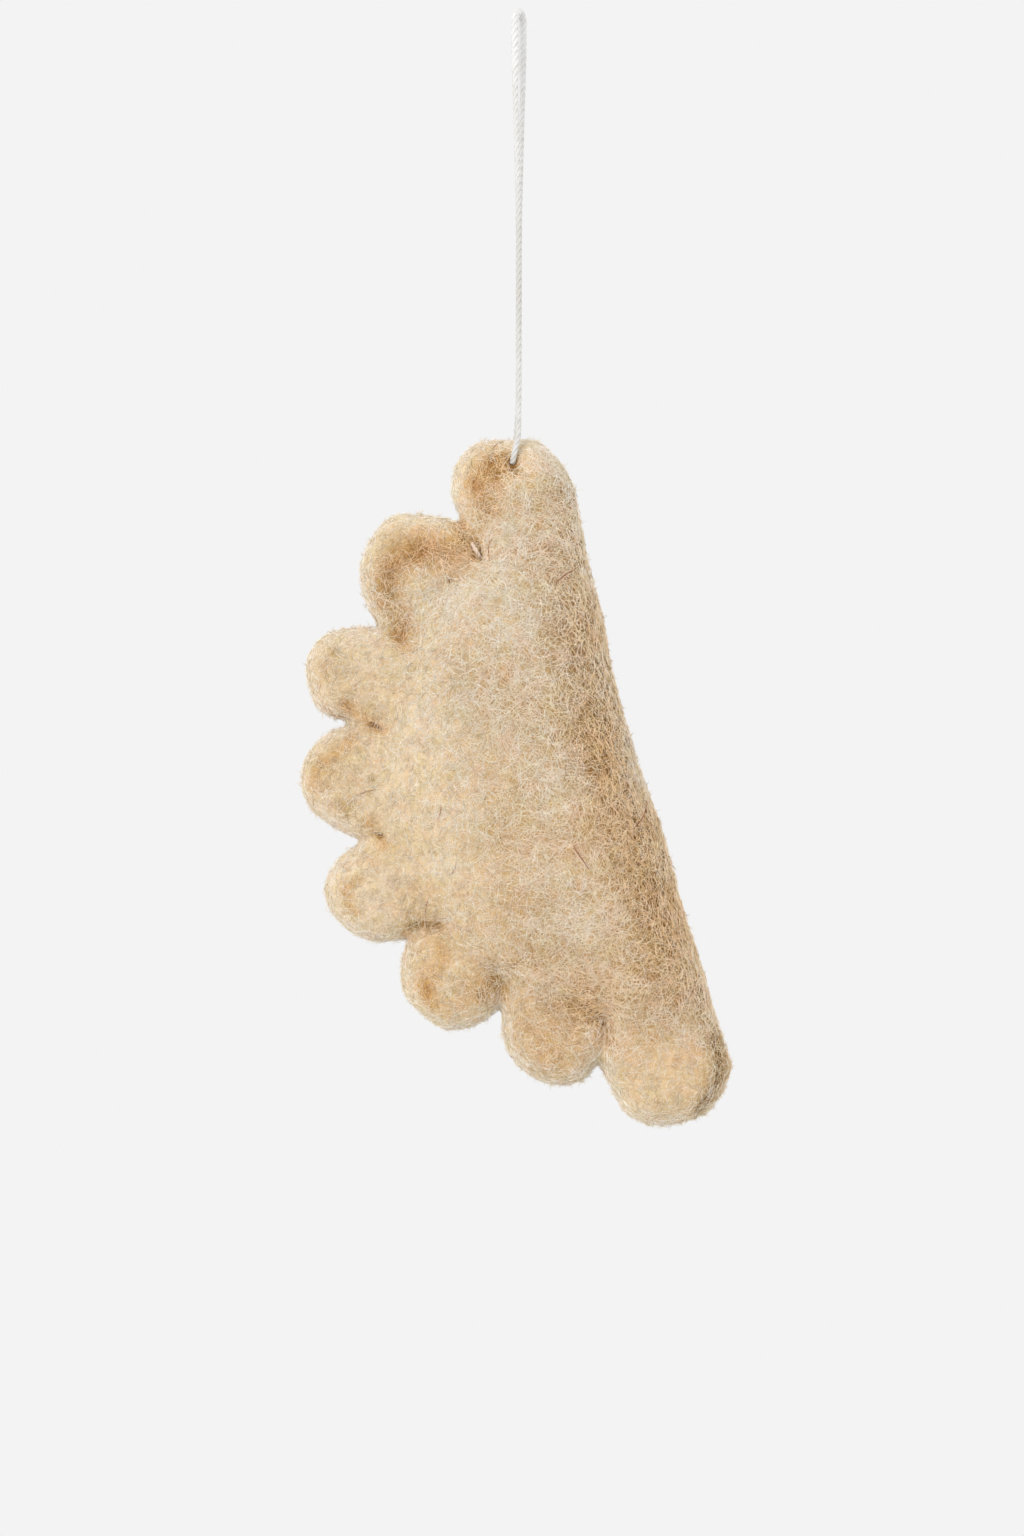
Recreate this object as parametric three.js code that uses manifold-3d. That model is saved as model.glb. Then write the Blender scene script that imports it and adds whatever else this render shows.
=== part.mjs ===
// A stuffed wool-felt ornament in the shape of a crimped half-moon turnover. It hangs by one end lobe
// from a loop of thin cord. Millimetres, +Z up, the front faces -Y, and the origin is on the hook, at the
// inside of the loop's top bend.
//
// The felt's outline is drawn in its own frame: along the fold, from the middle of the fold towards the
// lower end, and across from the fold towards the crimped edge. A place on it is a pair of shares,
// [along, across], of half the length and of the depth.
import * as THREE from "three";
import { mergeVertices } from "three/addons/utils/BufferGeometryUtils.js";
import Module from "manifold-3d";

const wasm = await Module();
wasm.setup();

// Driving dimensions of the felt
const LENGTH = 101.6; // end to end, along the fold
const DEPTH = 50; // from the fold to the furthest lobe tip
const DOME_HALF = 13.4; // half the thickness at the crown
const LOBE_HALF = 4.4; // half the thickness in the middle of a lobe
const VALLEY_HALF = 3.2; // half the thickness along the arc of stitches
const PINCH_HALF = 2.3; // half the thickness where a stitch draws the two layers together
const PINCH_WIDTH = 2.6; // how far a stitch's pull spreads to each side
const FOLD_ROUND = 12; // how far in from the fold the full roundness reaches
const RIM_ROUND = 3.3; // how far in from the crimped edge its roundness reaches
const FELT = 3; // thickness of the felt sheet
const SEAM = 0.3; // the gap where the two layers meet at the crimp
const LEAN = THREE.MathUtils.degToRad(15.47); // how far the fold hangs from upright

// Driving dimensions of the cord and thread
const CORD = 0.86; // cord diameter
const BEND = 2 * CORD; // radius of the cord's bends over the hook and into the lobe
const THREAD = 0.6; // thread diameter
const KNOT = 2.7; // knot diameter
const CLEARANCE = 0.3; // between a piece and what it lies in or on
const JOINT_GAP = 0.3; // between two stretches of cord
const STUFFING_GAP = 0.4; // between the stuffing and the felt
const HOLE_INSET = 3.5; // from the end lobe's rim to the hole that the cord runs through
const HOLE_HALF = 2.3; // half the thickness of the felt at that hole

// Shares of the felt's half length and depth
const SEAM_SHARE = 0.76; // the arc of stitches
const CAVITY_SHARE = 0.7; // where the stuffing ends
const DOME_RISE_SHARE = 0.46; // how far inside the arc of stitches the dome reaches its crown
const SPINE_END_SHARE = 0.6; // half the length of the line that all the sections start from
const SPINE_LOW_SHARE = 0.15; // how far that line is from the fold at its ends
const SPINE_RISE_SHARE = 0.16; // and how much further in the middle
const SLIT_SHARE = 0.2; // where the slit between the layers starts, away from the fold
const LOBE_RISE_SHARE = 0.08; // how far outside the arc of stitches a lobe is full
const CROWN_SOFT_SHARE = 0.1; // how softly the dome turns over at its crown
const FOLD_FILL_SHARE = 0.36; // how far from the fold an end lobe's fullness fills the valley
const CORNER_SHARE = 0.86; // where the fold's roundness ends, along the fold

// Each lobe's outline from the upper end of the fold round to the lower end. Neighbours share a notch.
const lobeShares = [
  [[-0.803, 0], [-0.88, 0.024], [-0.948, 0.07], [-0.98, 0.145], [-0.997, 0.226], [-0.957, 0.3],
    [-0.886, 0.341], [-0.8, 0.342]],
  [[-0.8, 0.342], [-0.842, 0.43], [-0.859, 0.519], [-0.815, 0.597], [-0.745, 0.65], [-0.656, 0.663],
    [-0.575, 0.65]],
  [[-0.575, 0.65], [-0.592, 0.733], [-0.584, 0.808], [-0.534, 0.865], [-0.463, 0.88], [-0.387, 0.87],
    [-0.332, 0.808]],
  [[-0.332, 0.808], [-0.315, 0.881], [-0.268, 0.946], [-0.196, 0.978], [-0.119, 0.965], [-0.06, 0.915],
    [-0.005, 0.866]],
  [[-0.005, 0.866], [0.033, 0.939], [0.092, 0.988], [0.17, 0.99], [0.239, 0.951], [0.28, 0.886],
    [0.3, 0.806]],
  [[0.3, 0.806], [0.371, 0.84], [0.45, 0.85], [0.518, 0.815], [0.574, 0.761], [0.583, 0.684],
    [0.565, 0.604]],
  [[0.565, 0.604], [0.631, 0.613], [0.7, 0.604], [0.76, 0.566], [0.801, 0.508], [0.813, 0.439],
    [0.786, 0.372]],
  [[0.786, 0.372], [0.859, 0.352], [0.933, 0.331], [0.985, 0.272], [1, 0.19], [0.994, 0.109],
    [0.951, 0.044], [0.884, 0]],
];
const foldShares = [
  [0.884, 0], [0.62, 0.008], [0.3, 0.012], [-0.05, 0.03], [-0.3, 0.027], [-0.55, 0.01], [-0.803, 0],
];
// The inner end of the crease that runs in from each notch.
const creaseEndShares = [
  [-0.672, 0.314], [-0.515, 0.583], [-0.286, 0.712], [-0.001, 0.785], [0.281, 0.7], [0.481, 0.565],
  [0.659, 0.315],
];
const lobeFullnessShares = [0.72, 0.9, 1, 1, 1, 1, 1.08, 1.3];
const holeRimShare = [-0.978, 0.135]; // the place on the end lobe's rim that is nearest to the hole
const lobeMiddleShare = [-0.8, 0.17];

// How finely the surfaces are cut
const SPINE_STEPS = 24;
const LOBE_STEPS = 9; // a multiple of three, as each lobe has three of the spine's steps
const CAVITY_LOBE_STEPS = 3;
const faceRingShares = [0, 0.4, 0.63, 0.75, 0.88, 1];
const cavityRingShares = [0, 0.6, 1];
const RIM_RINGS = 4;
const CORD_SIDES = 8;
const CORD_STEP = 2.5 * CORD;
const BEND_STEP = 1.4 * CORD;
const EYE_STEP = 0.8 * CORD;
const BEND_STEPS = 8;
const LOOP_DIVISIONS = 2000;
const HALVINGS = 20; // how often a search halves its range
const OVERRUN = 2; // how far a cut runs past what it cuts
const THREAD_SIDES = 5;
const THREAD_STEPS = 14;
const KNOT_STEPS = 12;
const TRUMPET_SIDES = 20;
const TRUMPET_STEPS = 5;

// Materials
const finish = (color, roughness) => new THREE.MeshStandardMaterial({ color, roughness, metalness: 0 });
const FELT_FINISH = finish("#d9c19a", 0.95);
const STUFFING_FINISH = finish("#e6dcc4", 1);
const THREAD_FINISH = finish("#efe9dd", 0.8);
const CORD_FINISH = finish("#f0eeea", 0.75);

// Solids

function solidOf(geometry) {
  const bare = geometry.clone();
  bare.deleteAttribute("normal");
  bare.deleteAttribute("uv");
  const merged = mergeVertices(bare);
  const mesh = new wasm.Mesh({
    numProp: 3,
    vertProperties: merged.attributes.position.array,
    triVerts: new Uint32Array(merged.index.array),
  });
  return new wasm.Manifold(mesh);
}

function geometryOf(solid) {
  const mesh = solid.getMesh();
  const geometry = new THREE.BufferGeometry();
  geometry.setAttribute("position", new THREE.BufferAttribute(mesh.vertProperties, mesh.numProp));
  geometry.setIndex(new THREE.BufferAttribute(mesh.triVerts, 1));
  geometry.computeVertexNormals();
  return geometry;
}

function named(name, geometry, material) {
  const mesh = new THREE.Mesh(geometry, material);
  mesh.name = name;
  return mesh;
}

const clamp01 = (value) => Math.min(1, Math.max(0, value));
const mix = (from, to, share) => from + (to - from) * share;

// The felt's surface

const halfLength = LENGTH / 2;
const alongOf = (place) => place[0] * halfLength;
const acrossOf = (place) => place[1] * DEPTH;
// In the felt's frame x points from the crimp to the fold, and z up along the fold.
const inFelt = (place, depth) => new THREE.Vector3(-acrossOf(place), depth, -alongOf(place));
const apart = (a, b) => Math.hypot(alongOf(a) - alongOf(b), acrossOf(a) - acrossOf(b));
const between = (a, b, share) => [mix(a[0], b[0], share), mix(a[1], b[1], share)];

function smoothLine(shares, steps) {
  const corners = shares.map((share) => new THREE.Vector3(...share, 0));
  const curve = new THREE.CatmullRomCurve3(corners, false, "centripetal");
  return curve.getSpacedPoints(steps).map((point) => [point.x, point.y]);
}

// The outline's points, each with the number of the spine point that its section starts from.
function outline(lobeSteps) {
  const points = [];
  const spinePerLobe = SPINE_STEPS / lobeShares.length;
  lobeShares.forEach((lobe, k) => {
    smoothLine(lobe, lobeSteps).slice(0, lobeSteps).forEach((place, i) => {
      const start = Math.round((k + i / lobeSteps) * spinePerLobe);
      points.push({ place, start, fold: false });
    });
  });
  smoothLine(foldShares, SPINE_STEPS).slice(0, SPINE_STEPS).forEach((place, i) => {
    points.push({ place, start: SPINE_STEPS - i, fold: true });
  });
  return points;
}

// How far across the spine lies, level beyond its ends.
function spineAcross(along) {
  const share = Math.min(1, Math.abs(along) / SPINE_END_SHARE);
  return SPINE_LOW_SHARE + SPINE_RISE_SHARE * (1 - share * share);
}

function spinePoint(i) {
  const along = mix(-SPINE_END_SHARE, SPINE_END_SHARE, i / SPINE_STEPS);
  return [along, spineAcross(along)];
}

const notches = lobeShares.slice(1).map((lobe) => lobe[0]);
const angleOf = (place) => Math.atan2(place[1], -place[0]);
const notchAngles = [0, ...notches.map(angleOf), Math.PI];

function pinchAt(place) {
  let nearest = Infinity;
  notches.forEach((notch, k) => {
    const end = creaseEndShares[k];
    const run = [alongOf(notch) - alongOf(end), acrossOf(notch) - acrossOf(end)];
    const to = [alongOf(place) - alongOf(end), acrossOf(place) - acrossOf(end)];
    const share = clamp01((run[0] * to[0] + run[1] * to[1]) / (run[0] * run[0] + run[1] * run[1]));
    nearest = Math.min(nearest, Math.hypot(to[0] - run[0] * share, to[1] - run[1] * share));
  });
  return Math.exp(-((nearest / PINCH_WIDTH) ** 2));
}

// Half the felt's thickness at a place, before its edge is rounded. The dome has its crown along the
// spine, and between the spine and the fold it keeps that height. The valley along the stitches fills in
// near the fold.
function halfThickness(place) {
  const spine = spineAcross(place[0]);
  const beyond = place[1] - spine;
  const crown = spine + (Math.hypot(beyond, CROWN_SOFT_SHARE) + beyond) / 2;
  const reach = Math.hypot(place[0], place[1]);
  const rise = clamp01((SEAM_SHARE - Math.hypot(place[0], crown)) / DOME_RISE_SHARE);
  const angle = angleOf(place);
  const k = Math.min(lobeShares.length - 1, notchAngles.findLastIndex((a) => a <= angle));
  const side = (2 * (angle - notchAngles[k])) / (notchAngles[k + 1] - notchAngles[k]) - 1;
  const isEnd = k === 0 || k === lobeShares.length - 1;
  const foldness = isEnd ? 1 - clamp01(place[1] / FOLD_FILL_SHARE) : 0;
  const lobeHalf = LOBE_HALF * lobeFullnessShares[k];
  const full = clamp01((reach - SEAM_SHARE) / LOBE_RISE_SHARE) * (1 - side * side);
  const low = mix(VALLEY_HALF, lobeHalf, Math.max(full, foldness));
  return mix(mix(low, DOME_HALF, 1 - (1 - rise) ** 2), PINCH_HALF, pinchAt(place));
}

function roundingAt(point) {
  if (!point.fold) return RIM_ROUND;
  return mix(RIM_ROUND, FOLD_ROUND, 1 - clamp01((point.place[0] / CORNER_SHARE) ** 2));
}

// A closed form: sections run from the spine to each outline point, on the front and on the back.
// edgeOf gives a section's outer end, and inset is how far the form lies under the felt's surface.
function puffedForm(points, ringShares, edgeOf, inset) {
  const positions = [];
  const index = [];
  const rows = points.map((point) => {
    const start = spinePoint(point.start);
    const end = edgeOf(start, point);
    const long = apart(start, end);
    const flat = 1 - Math.min((roundingAt(point) - inset) / long, 1);
    const steps = ringShares.map((share) => [share * flat, 1]);
    for (let ring = 1; ring <= RIM_RINGS; ring++) {
      const turn = (ring / RIM_RINGS) * (Math.PI / 2);
      steps.push([mix(flat, 1, Math.sin(turn)), ring < RIM_RINGS ? Math.cos(turn) : 0]);
    }
    return steps.map(([share, fullness]) => {
      const place = between(start, end, share);
      const half = Math.max(halfThickness(place) - inset, SEAM) * fullness;
      return [inFelt(place, -half), inFelt(place, half)];
    });
  });
  const add = (a, b, c) => {
    const same = (p, q) => p.distanceToSquared(q) < Number.EPSILON;
    if (same(a, b) || same(b, c) || same(c, a)) return;
    for (const p of [a, b, c]) {
      index.push(positions.length / 3);
      positions.push(p.x, p.y, p.z);
    }
  };
  rows.forEach((row, i) => {
    const next = rows[(i + 1) % rows.length];
    for (let ring = 0; ring + 1 < row.length; ring++) {
      for (const [side, turned] of [[0, false], [1, true]]) {
        const [p, q, r, s] = [row[ring][side], next[ring][side], next[ring + 1][side], row[ring + 1][side]];
        if (turned) {
          add(p, q, r);
          add(p, r, s);
        } else {
          add(p, r, q);
          add(p, s, r);
        }
      }
    }
  });
  const geometry = new THREE.BufferGeometry();
  geometry.setAttribute("position", new THREE.Float32BufferAttribute(positions, 3));
  geometry.setIndex(index);
  return geometry;
}

// Where a section of the cavity or of the stuffing ends.
function innerEdge(inset) {
  const reach = CAVITY_SHARE - (inset - FELT) / DEPTH;
  const holds = (place) =>
    Math.hypot(place[0], place[1]) < reach && acrossOf(place) > foldAcross(place[0]) + inset;
  return (start, point) => {
    let inside = 0;
    let outside = 1;
    for (let i = 0; i < HALVINGS; i++) {
      const middle = (inside + outside) / 2;
      if (holds(between(start, point.place, middle))) inside = middle;
      else outside = middle;
    }
    return between(start, point.place, inside);
  };
}

// Felt and stuffing

const foldLine = smoothLine(foldShares, SPINE_STEPS);

// How far across the fold lies at a place along it.
function foldAcross(along) {
  const nearer = (a, b) => (Math.abs(b[0] - along) < Math.abs(a[0] - along) ? b : a);
  return acrossOf(foldLine.reduce(nearer));
}

const holePlace = between(
  holeRimShare,
  lobeMiddleShare,
  HOLE_INSET / apart(holeRimShare, lobeMiddleShare),
);

// A stitch is a ring of thread that passes through both layers at the inner end of its crease and round the
// edge in the notch.
function stitchGeometry(k, diameter) {
  const notch = notches[k];
  const end = creaseEndShares[k];
  const middle = inFelt(between(notch, end, 0.5), 0);
  const run = inFelt(notch, 0).sub(inFelt(end, 0));
  const halfRun = run.length() / 2 + THREAD / 2 + CLEARANCE;
  const halfRise = PINCH_HALF + THREAD / 2 + CLEARANCE;
  run.normalize();
  const points = [];
  for (let i = 0; i < THREAD_STEPS; i++) {
    const turn = (i / THREAD_STEPS) * 2 * Math.PI;
    const point = middle.clone().addScaledVector(run, halfRun * Math.cos(turn));
    point.y = halfRise * Math.sin(turn);
    points.push(point);
  }
  const path = new THREE.CatmullRomCurve3(points, true);
  return new THREE.TubeGeometry(path, THREAD_STEPS, diameter / 2, THREAD_SIDES, true);
}

// The hole for the cord flares like a trumpet on both faces, so that the cord can turn round in it.
const BORE = CORD / 2 + CLEARANCE;
const FLARE = BEND - BORE;
function trumpetGeometry() {
  const wide = HOLE_INSET + BEND;
  const profile = [
    new THREE.Vector2(0, -DOME_HALF),
    new THREE.Vector2(wide, -DOME_HALF),
    new THREE.Vector2(wide, -HOLE_HALF - FLARE),
  ];
  for (let i = 0; i <= TRUMPET_STEPS; i++) {
    const turn = (i / TRUMPET_STEPS) * (Math.PI / 2);
    profile.push(new THREE.Vector2(BEND - FLARE * Math.sin(turn), -HOLE_HALF - FLARE * Math.cos(turn)));
  }
  const mirrored = profile.map((p) => new THREE.Vector2(p.x, -p.y)).reverse();
  const geometry = new THREE.LatheGeometry([...profile, ...mirrored], TRUMPET_SIDES);
  return geometry.translate(...inFelt(holePlace, 0).toArray());
}

// The slit between the two layers, from the cavity out through the crimped edge.
function slitGeometry() {
  const across = DEPTH * (1 - SLIT_SHARE) + OVERRUN;
  const geometry = new THREE.BoxGeometry(across, SEAM, LENGTH + 2 * OVERRUN);
  return geometry.translate(-DEPTH * SLIT_SHARE - across / 2, 0, 0);
}

function wrapperGeometry() {
  const rim = (start, point) => point.place;
  let solid = solidOf(puffedForm(outline(LOBE_STEPS), faceRingShares, rim, 0));
  const cavity = puffedForm(outline(CAVITY_LOBE_STEPS), cavityRingShares, innerEdge(FELT), FELT);
  const cuts = [cavity, slitGeometry(), trumpetGeometry()];
  notches.forEach((notch, k) => cuts.push(stitchGeometry(k, THREAD + 2 * CLEARANCE)));
  for (const cut of cuts) solid = solid.subtract(solidOf(cut));
  return geometryOf(solid);
}

function stuffingGeometry() {
  const inset = FELT + STUFFING_GAP;
  return puffedForm(outline(CAVITY_LOBE_STEPS), cavityRingShares, innerEdge(inset), inset);
}

// Cord

const hole = new THREE.Vector3(-0.93, 0, -63.9);
const knotCentre = hole.clone().setY(HOLE_HALF + FLARE - CLEARANCE + KNOT / 2);
const LOOP_TURN = THREE.MathUtils.degToRad(66.6); // the loop's plane at the hook, from the picture's plane

// The two strands, from the bend over the hook down to the lobe
const frontRoute = [
  [-0.68, -1.58, -1.29], [-0.66, -1.68, -3.8], [-0.6, -1.81, -7], [-0.52, -1.97, -10.8],
  [-0.4, -2.15, -15.2], [-0.28, -2.32, -19.4], [-0.16, -2.5, -23.8], [-0.07, -2.67, -28],
  [-0.03, -2.84, -32], [-0.03, -3.07, -37.5], [-0.04, -3.29, -43], [-0.04, -3.52, -48.5],
  [-0.05, -3.75, -54], [-0.08, -3.92, -58], [-0.14, -4, -60.2],
];
const backRoute = [
  [0.68, 1.58, -1.29], [0.66, 1.69, -3.8], [0.6, 1.82, -7], [0.51, 1.99, -10.8], [0.39, 2.18, -15.2],
  [0.27, 2.36, -19.4], [0.15, 2.55, -23.8], [0.06, 2.73, -28], [0.01, 2.9, -32], [0, 3.13, -37.5],
  [-0.01, 3.37, -43], [-0.02, 3.6, -48.5], [-0.05, 3.84, -54], [-0.2, 4.05, -58], [-0.46, 4.21, -60.4],
  [-0.78, 4.33, -62.25],
];
const tailRoutes = [
  [[-1.2, 4.5, -64.6], [-1.9, 4.95, -66.2], [-2.3, 5.2, -68], [-2.2, 5.3, -69.8]],
  [[-0.6, 4.6, -64.7], [0, 5, -66.2], [0.5, 5.1, -67.8], [0.5, 5.4, -69.2]],
];
// The heights of the gaps between the stretches of cord
const NECK_TOP = -2.6;
const UPPER_TOP = -7.6;
const LOWER_TOP = -32;

const asVectors = (route) => route.map((point) => new THREE.Vector3(...point));

// The whole loop as one curve: up the back strand, over the hook, down the front strand and through
// the lobe
function loopCurve() {
  const points = asVectors(backRoute).reverse();
  const hookCentre = new THREE.Vector3(0, 0, CORD / 2 - BEND);
  const side = new THREE.Vector3(Math.cos(LOOP_TURN), Math.sin(LOOP_TURN), 0);
  for (let i = 1; i < BEND_STEPS; i++) {
    const turn = (i / BEND_STEPS) * Math.PI;
    const point = hookCentre.clone().addScaledVector(side, BEND * Math.cos(turn));
    points.push(point.setZ(hookCentre.z + BEND * Math.sin(turn)));
  }
  points.push(...asVectors(frontRoute));
  const lean = hole.clone().sub(points.at(-1)).setY(0).normalize();
  for (let i = 0; i <= BEND_STEPS / 2; i++) {
    const turn = (i / BEND_STEPS) * Math.PI;
    const point = hole.clone().addScaledVector(lean, -BEND * (1 - Math.sin(turn)));
    points.push(point.setY(-HOLE_HALF - BEND * Math.cos(turn)));
  }
  points.push(hole.clone(), hole.clone().setY(knotCentre.y - KNOT / 2 - JOINT_GAP));
  const curve = new THREE.CatmullRomCurve3(points, false, "centripetal");
  curve.arcLengthDivisions = LOOP_DIVISIONS;
  return curve;
}
const loop = loopCurve();
const apex = 0.5 * (uAtHeight(NECK_TOP, 0, 0.5) + uAtHeight(NECK_TOP, 1, 0.5));

// Where the loop passes a height, as a share of its length, between one end and a place higher up.
function uAtHeight(height, low, high) {
  for (let i = 0; i < HALVINGS; i++) {
    const middle = (low + high) / 2;
    if (loop.getPointAt(middle).z < height) low = middle;
    else high = middle;
  }
  return (low + high) / 2;
}

class Stretch extends THREE.Curve {
  constructor(from, to) {
    super();
    this.from = from;
    this.to = to;
  }
  getPoint(share) {
    return loop.getPointAt(mix(this.from, this.to, share));
  }
}

function section() {
  const shape = new THREE.Shape();
  for (let i = 0; i < CORD_SIDES; i++) {
    const turn = (i / CORD_SIDES) * 2 * Math.PI;
    const [x, y] = [(CORD / 2) * Math.cos(turn), (CORD / 2) * Math.sin(turn)];
    if (i === 0) shape.moveTo(x, y);
    else shape.lineTo(x, y);
  }
  return shape;
}

const tube = (path, step) =>
  new THREE.ExtrudeGeometry(section(), {
    steps: Math.ceil(path.getLength() / step),
    extrudePath: path,
    bevelEnabled: false,
  });

function knotGeometry() {
  const ball = new THREE.SphereGeometry(KNOT / 2, KNOT_STEPS, KNOT_STEPS / 2);
  let solid = solidOf(ball.translate(...knotCentre.toArray()));
  for (const route of tailRoutes) {
    const path = new THREE.CatmullRomCurve3(asVectors(route), false, "centripetal");
    solid = solid.add(solidOf(tube(path, BEND_STEP)));
  }
  return geometryOf(solid);
}

// Assembly

const ornament = new THREE.Group();
ornament.add(named("felt_wrapper", wrapperGeometry(), FELT_FINISH));
ornament.add(named("wool_stuffing", stuffingGeometry(), STUFFING_FINISH));
notches.forEach((notch, k) => {
  ornament.add(named(`crimp_stitch_${k + 1}`, stitchGeometry(k, THREAD), THREAD_FINISH));
});
ornament.rotation.y = -LEAN;
ornament.position.copy(hole).sub(inFelt(holePlace, 0).applyEuler(ornament.rotation));

const cord = new THREE.Group();
const halfGap = JOINT_GAP / 2 / loop.getLength();
const ends = [0, 1];
const heights = [LOWER_TOP, UPPER_TOP, NECK_TOP];
const marks = ends.map((end) => [end, ...heights.map((height) => uAtHeight(height, end, apex))]);
const stretchNames = ["cord_lower", "cord_upper", "cord_neck"];
const sideNames = ["back", "front"];
const steps = [BEND_STEP, CORD_STEP, CORD_STEP];
marks.forEach((side, s) => {
  const inward = s === 0 ? halfGap : -halfGap;
  stretchNames.forEach((name, k) => {
    const from = k === 0 ? side[k] : side[k] + inward;
    const path = new Stretch(from, side[k + 1] - inward);
    cord.add(named(`${name}_${sideNames[s]}`, tube(path, steps[k]), CORD_FINISH));
  });
});
const eye = new Stretch(marks[0].at(-1) + halfGap, marks[1].at(-1) - halfGap);
cord.add(named("cord_eye", tube(eye, EYE_STEP), CORD_FINISH));
cord.add(named("cord_knot", knotGeometry(), CORD_FINISH));

const part = new THREE.Group();
part.add(ornament, cord);
export default part;
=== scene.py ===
"""A stuffed wool-felt ornament in the shape of a crimped half-moon turnover, on a loop of thin twisted cord.
It is dressed around its CAD frame, in metres, with +Z up and its front facing -Y."""
import itertools
import math

import bpy
import numpy as np
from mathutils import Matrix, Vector


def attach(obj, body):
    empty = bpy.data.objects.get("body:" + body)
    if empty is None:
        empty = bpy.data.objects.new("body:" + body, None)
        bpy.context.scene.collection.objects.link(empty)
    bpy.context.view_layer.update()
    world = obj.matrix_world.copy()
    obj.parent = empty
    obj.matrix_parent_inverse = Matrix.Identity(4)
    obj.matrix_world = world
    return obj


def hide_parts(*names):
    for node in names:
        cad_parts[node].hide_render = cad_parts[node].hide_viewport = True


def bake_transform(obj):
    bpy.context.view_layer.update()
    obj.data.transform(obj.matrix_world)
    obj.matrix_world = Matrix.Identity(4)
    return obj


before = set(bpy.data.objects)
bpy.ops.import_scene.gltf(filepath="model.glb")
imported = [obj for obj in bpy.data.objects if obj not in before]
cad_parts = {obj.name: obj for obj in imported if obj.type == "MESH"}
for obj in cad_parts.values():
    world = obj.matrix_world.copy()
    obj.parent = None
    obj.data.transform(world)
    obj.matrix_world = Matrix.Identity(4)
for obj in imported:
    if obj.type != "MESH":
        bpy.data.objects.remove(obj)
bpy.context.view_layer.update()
MM = 0.001

# The photograph: a pixel's size on the object in millimetres, its size in pixels, and the hook's pixel
PIXEL = 0.14236
FRAME_WIDE, FRAME_HIGH = 1024, 1536
HOOK_PIXEL = (519, 14)
CAMERA_FAR = 900  # millimetres from the camera to the object
SENSOR = 36


def linear(r, g, b):
    """A colour written as 8-bit sRGB, as linear light."""
    out = []
    for value in (r, g, b):
        v = value / 255
        out.append(v / 12.92 if v <= 0.04045 else ((v + 0.055) / 1.055) ** 2.4)
    return (*out, 1.0)


# Camera

camera = bpy.data.objects.new("camera", bpy.data.cameras.new("camera"))
camera.data.sensor_width = SENSOR
camera.data.lens = SENSOR * CAMERA_FAR / (FRAME_HIGH * PIXEL)
camera.data.clip_end = 10
camera.location = (
    (FRAME_WIDE / 2 - HOOK_PIXEL[0]) * PIXEL * MM,
    -CAMERA_FAR * MM,
    (HOOK_PIXEL[1] - FRAME_HIGH / 2) * PIXEL * MM,
)
camera.rotation_euler = (math.pi / 2, 0, 0)
bpy.context.scene.collection.objects.link(camera)
bpy.context.scene.camera = camera
bpy.context.scene.view_settings.view_transform = "Standard"


# Curves and meshes

def unit(v):
    return v / np.maximum(np.linalg.norm(v, axis=-1, keepdims=True), 1e-12)


def smoothstep(low, high, x):
    t = np.clip((x - low) / (high - low), 0, 1)
    return t * t * (3 - 2 * t)


def bell(distance, width):
    return np.exp(-((distance / width) ** 2))


def spline(points, per=16):
    """A smooth curve through points: a centripetal Catmull-Rom spline."""
    p = np.asarray(points, float)
    p = np.vstack([2 * p[0] - p[1], p, 2 * p[-1] - p[-2]])
    p0, p1, p2, p3 = p[:-3], p[1:-2], p[2:-1], p[3:]
    pairs = ((p0, p1), (p1, p2), (p2, p3))
    d0, d1, d2 = (np.maximum(np.sqrt(np.linalg.norm(b - a, axis=1)), 1e-6)[:, None] for a, b in pairs)
    m1 = ((p1 - p0) / d0 - (p2 - p0) / (d0 + d1) + (p2 - p1) / d1) * d1
    m2 = ((p2 - p1) / d1 - (p3 - p1) / (d1 + d2) + (p3 - p2) / d2) * d1
    t = (np.arange(per) / per)[None, :, None]
    p1, p2, m1, m2 = (v[:, None, :] for v in (p1, p2, m1, m2))
    curve = (
        (2 * t**3 - 3 * t**2 + 1) * p1 + (t**3 - 2 * t**2 + t) * m1
        + (-2 * t**3 + 3 * t**2) * p2 + (t**3 - t**2) * m2
    ).reshape(-1, p.shape[1])
    return np.vstack([curve, p[-2]])


def lengths_along(path):
    return np.r_[0, np.cumsum(np.linalg.norm(np.diff(path, axis=0), axis=1))]


def evenly(path, step):
    """The path again, with points about a step apart."""
    lengths = lengths_along(path)
    at = np.linspace(0, lengths[-1], max(2, round(lengths[-1] / step) + 1))
    return np.stack([np.interp(at, lengths, path[:, i]) for i in range(path.shape[1])], 1)


def side_vectors(path):
    """Two directions across the path at each point, which don't twist along it."""
    along = unit(np.gradient(path, axis=0))
    start = np.cross(along[0], [0.0, 1.0, 0.0])
    if np.linalg.norm(start) < 0.1:
        start = np.cross(along[0], [1.0, 0.0, 0.0])
    first = [unit(start)]
    for t in along[1:]:
        v = first[-1] - t * (first[-1] @ t)
        first.append(unit(v))
    first = np.array(first)
    return first, np.cross(along, first)


def full_turn(steps):
    """Angles evenly round a circle."""
    return np.arange(steps) * 2 * math.pi / steps


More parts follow.
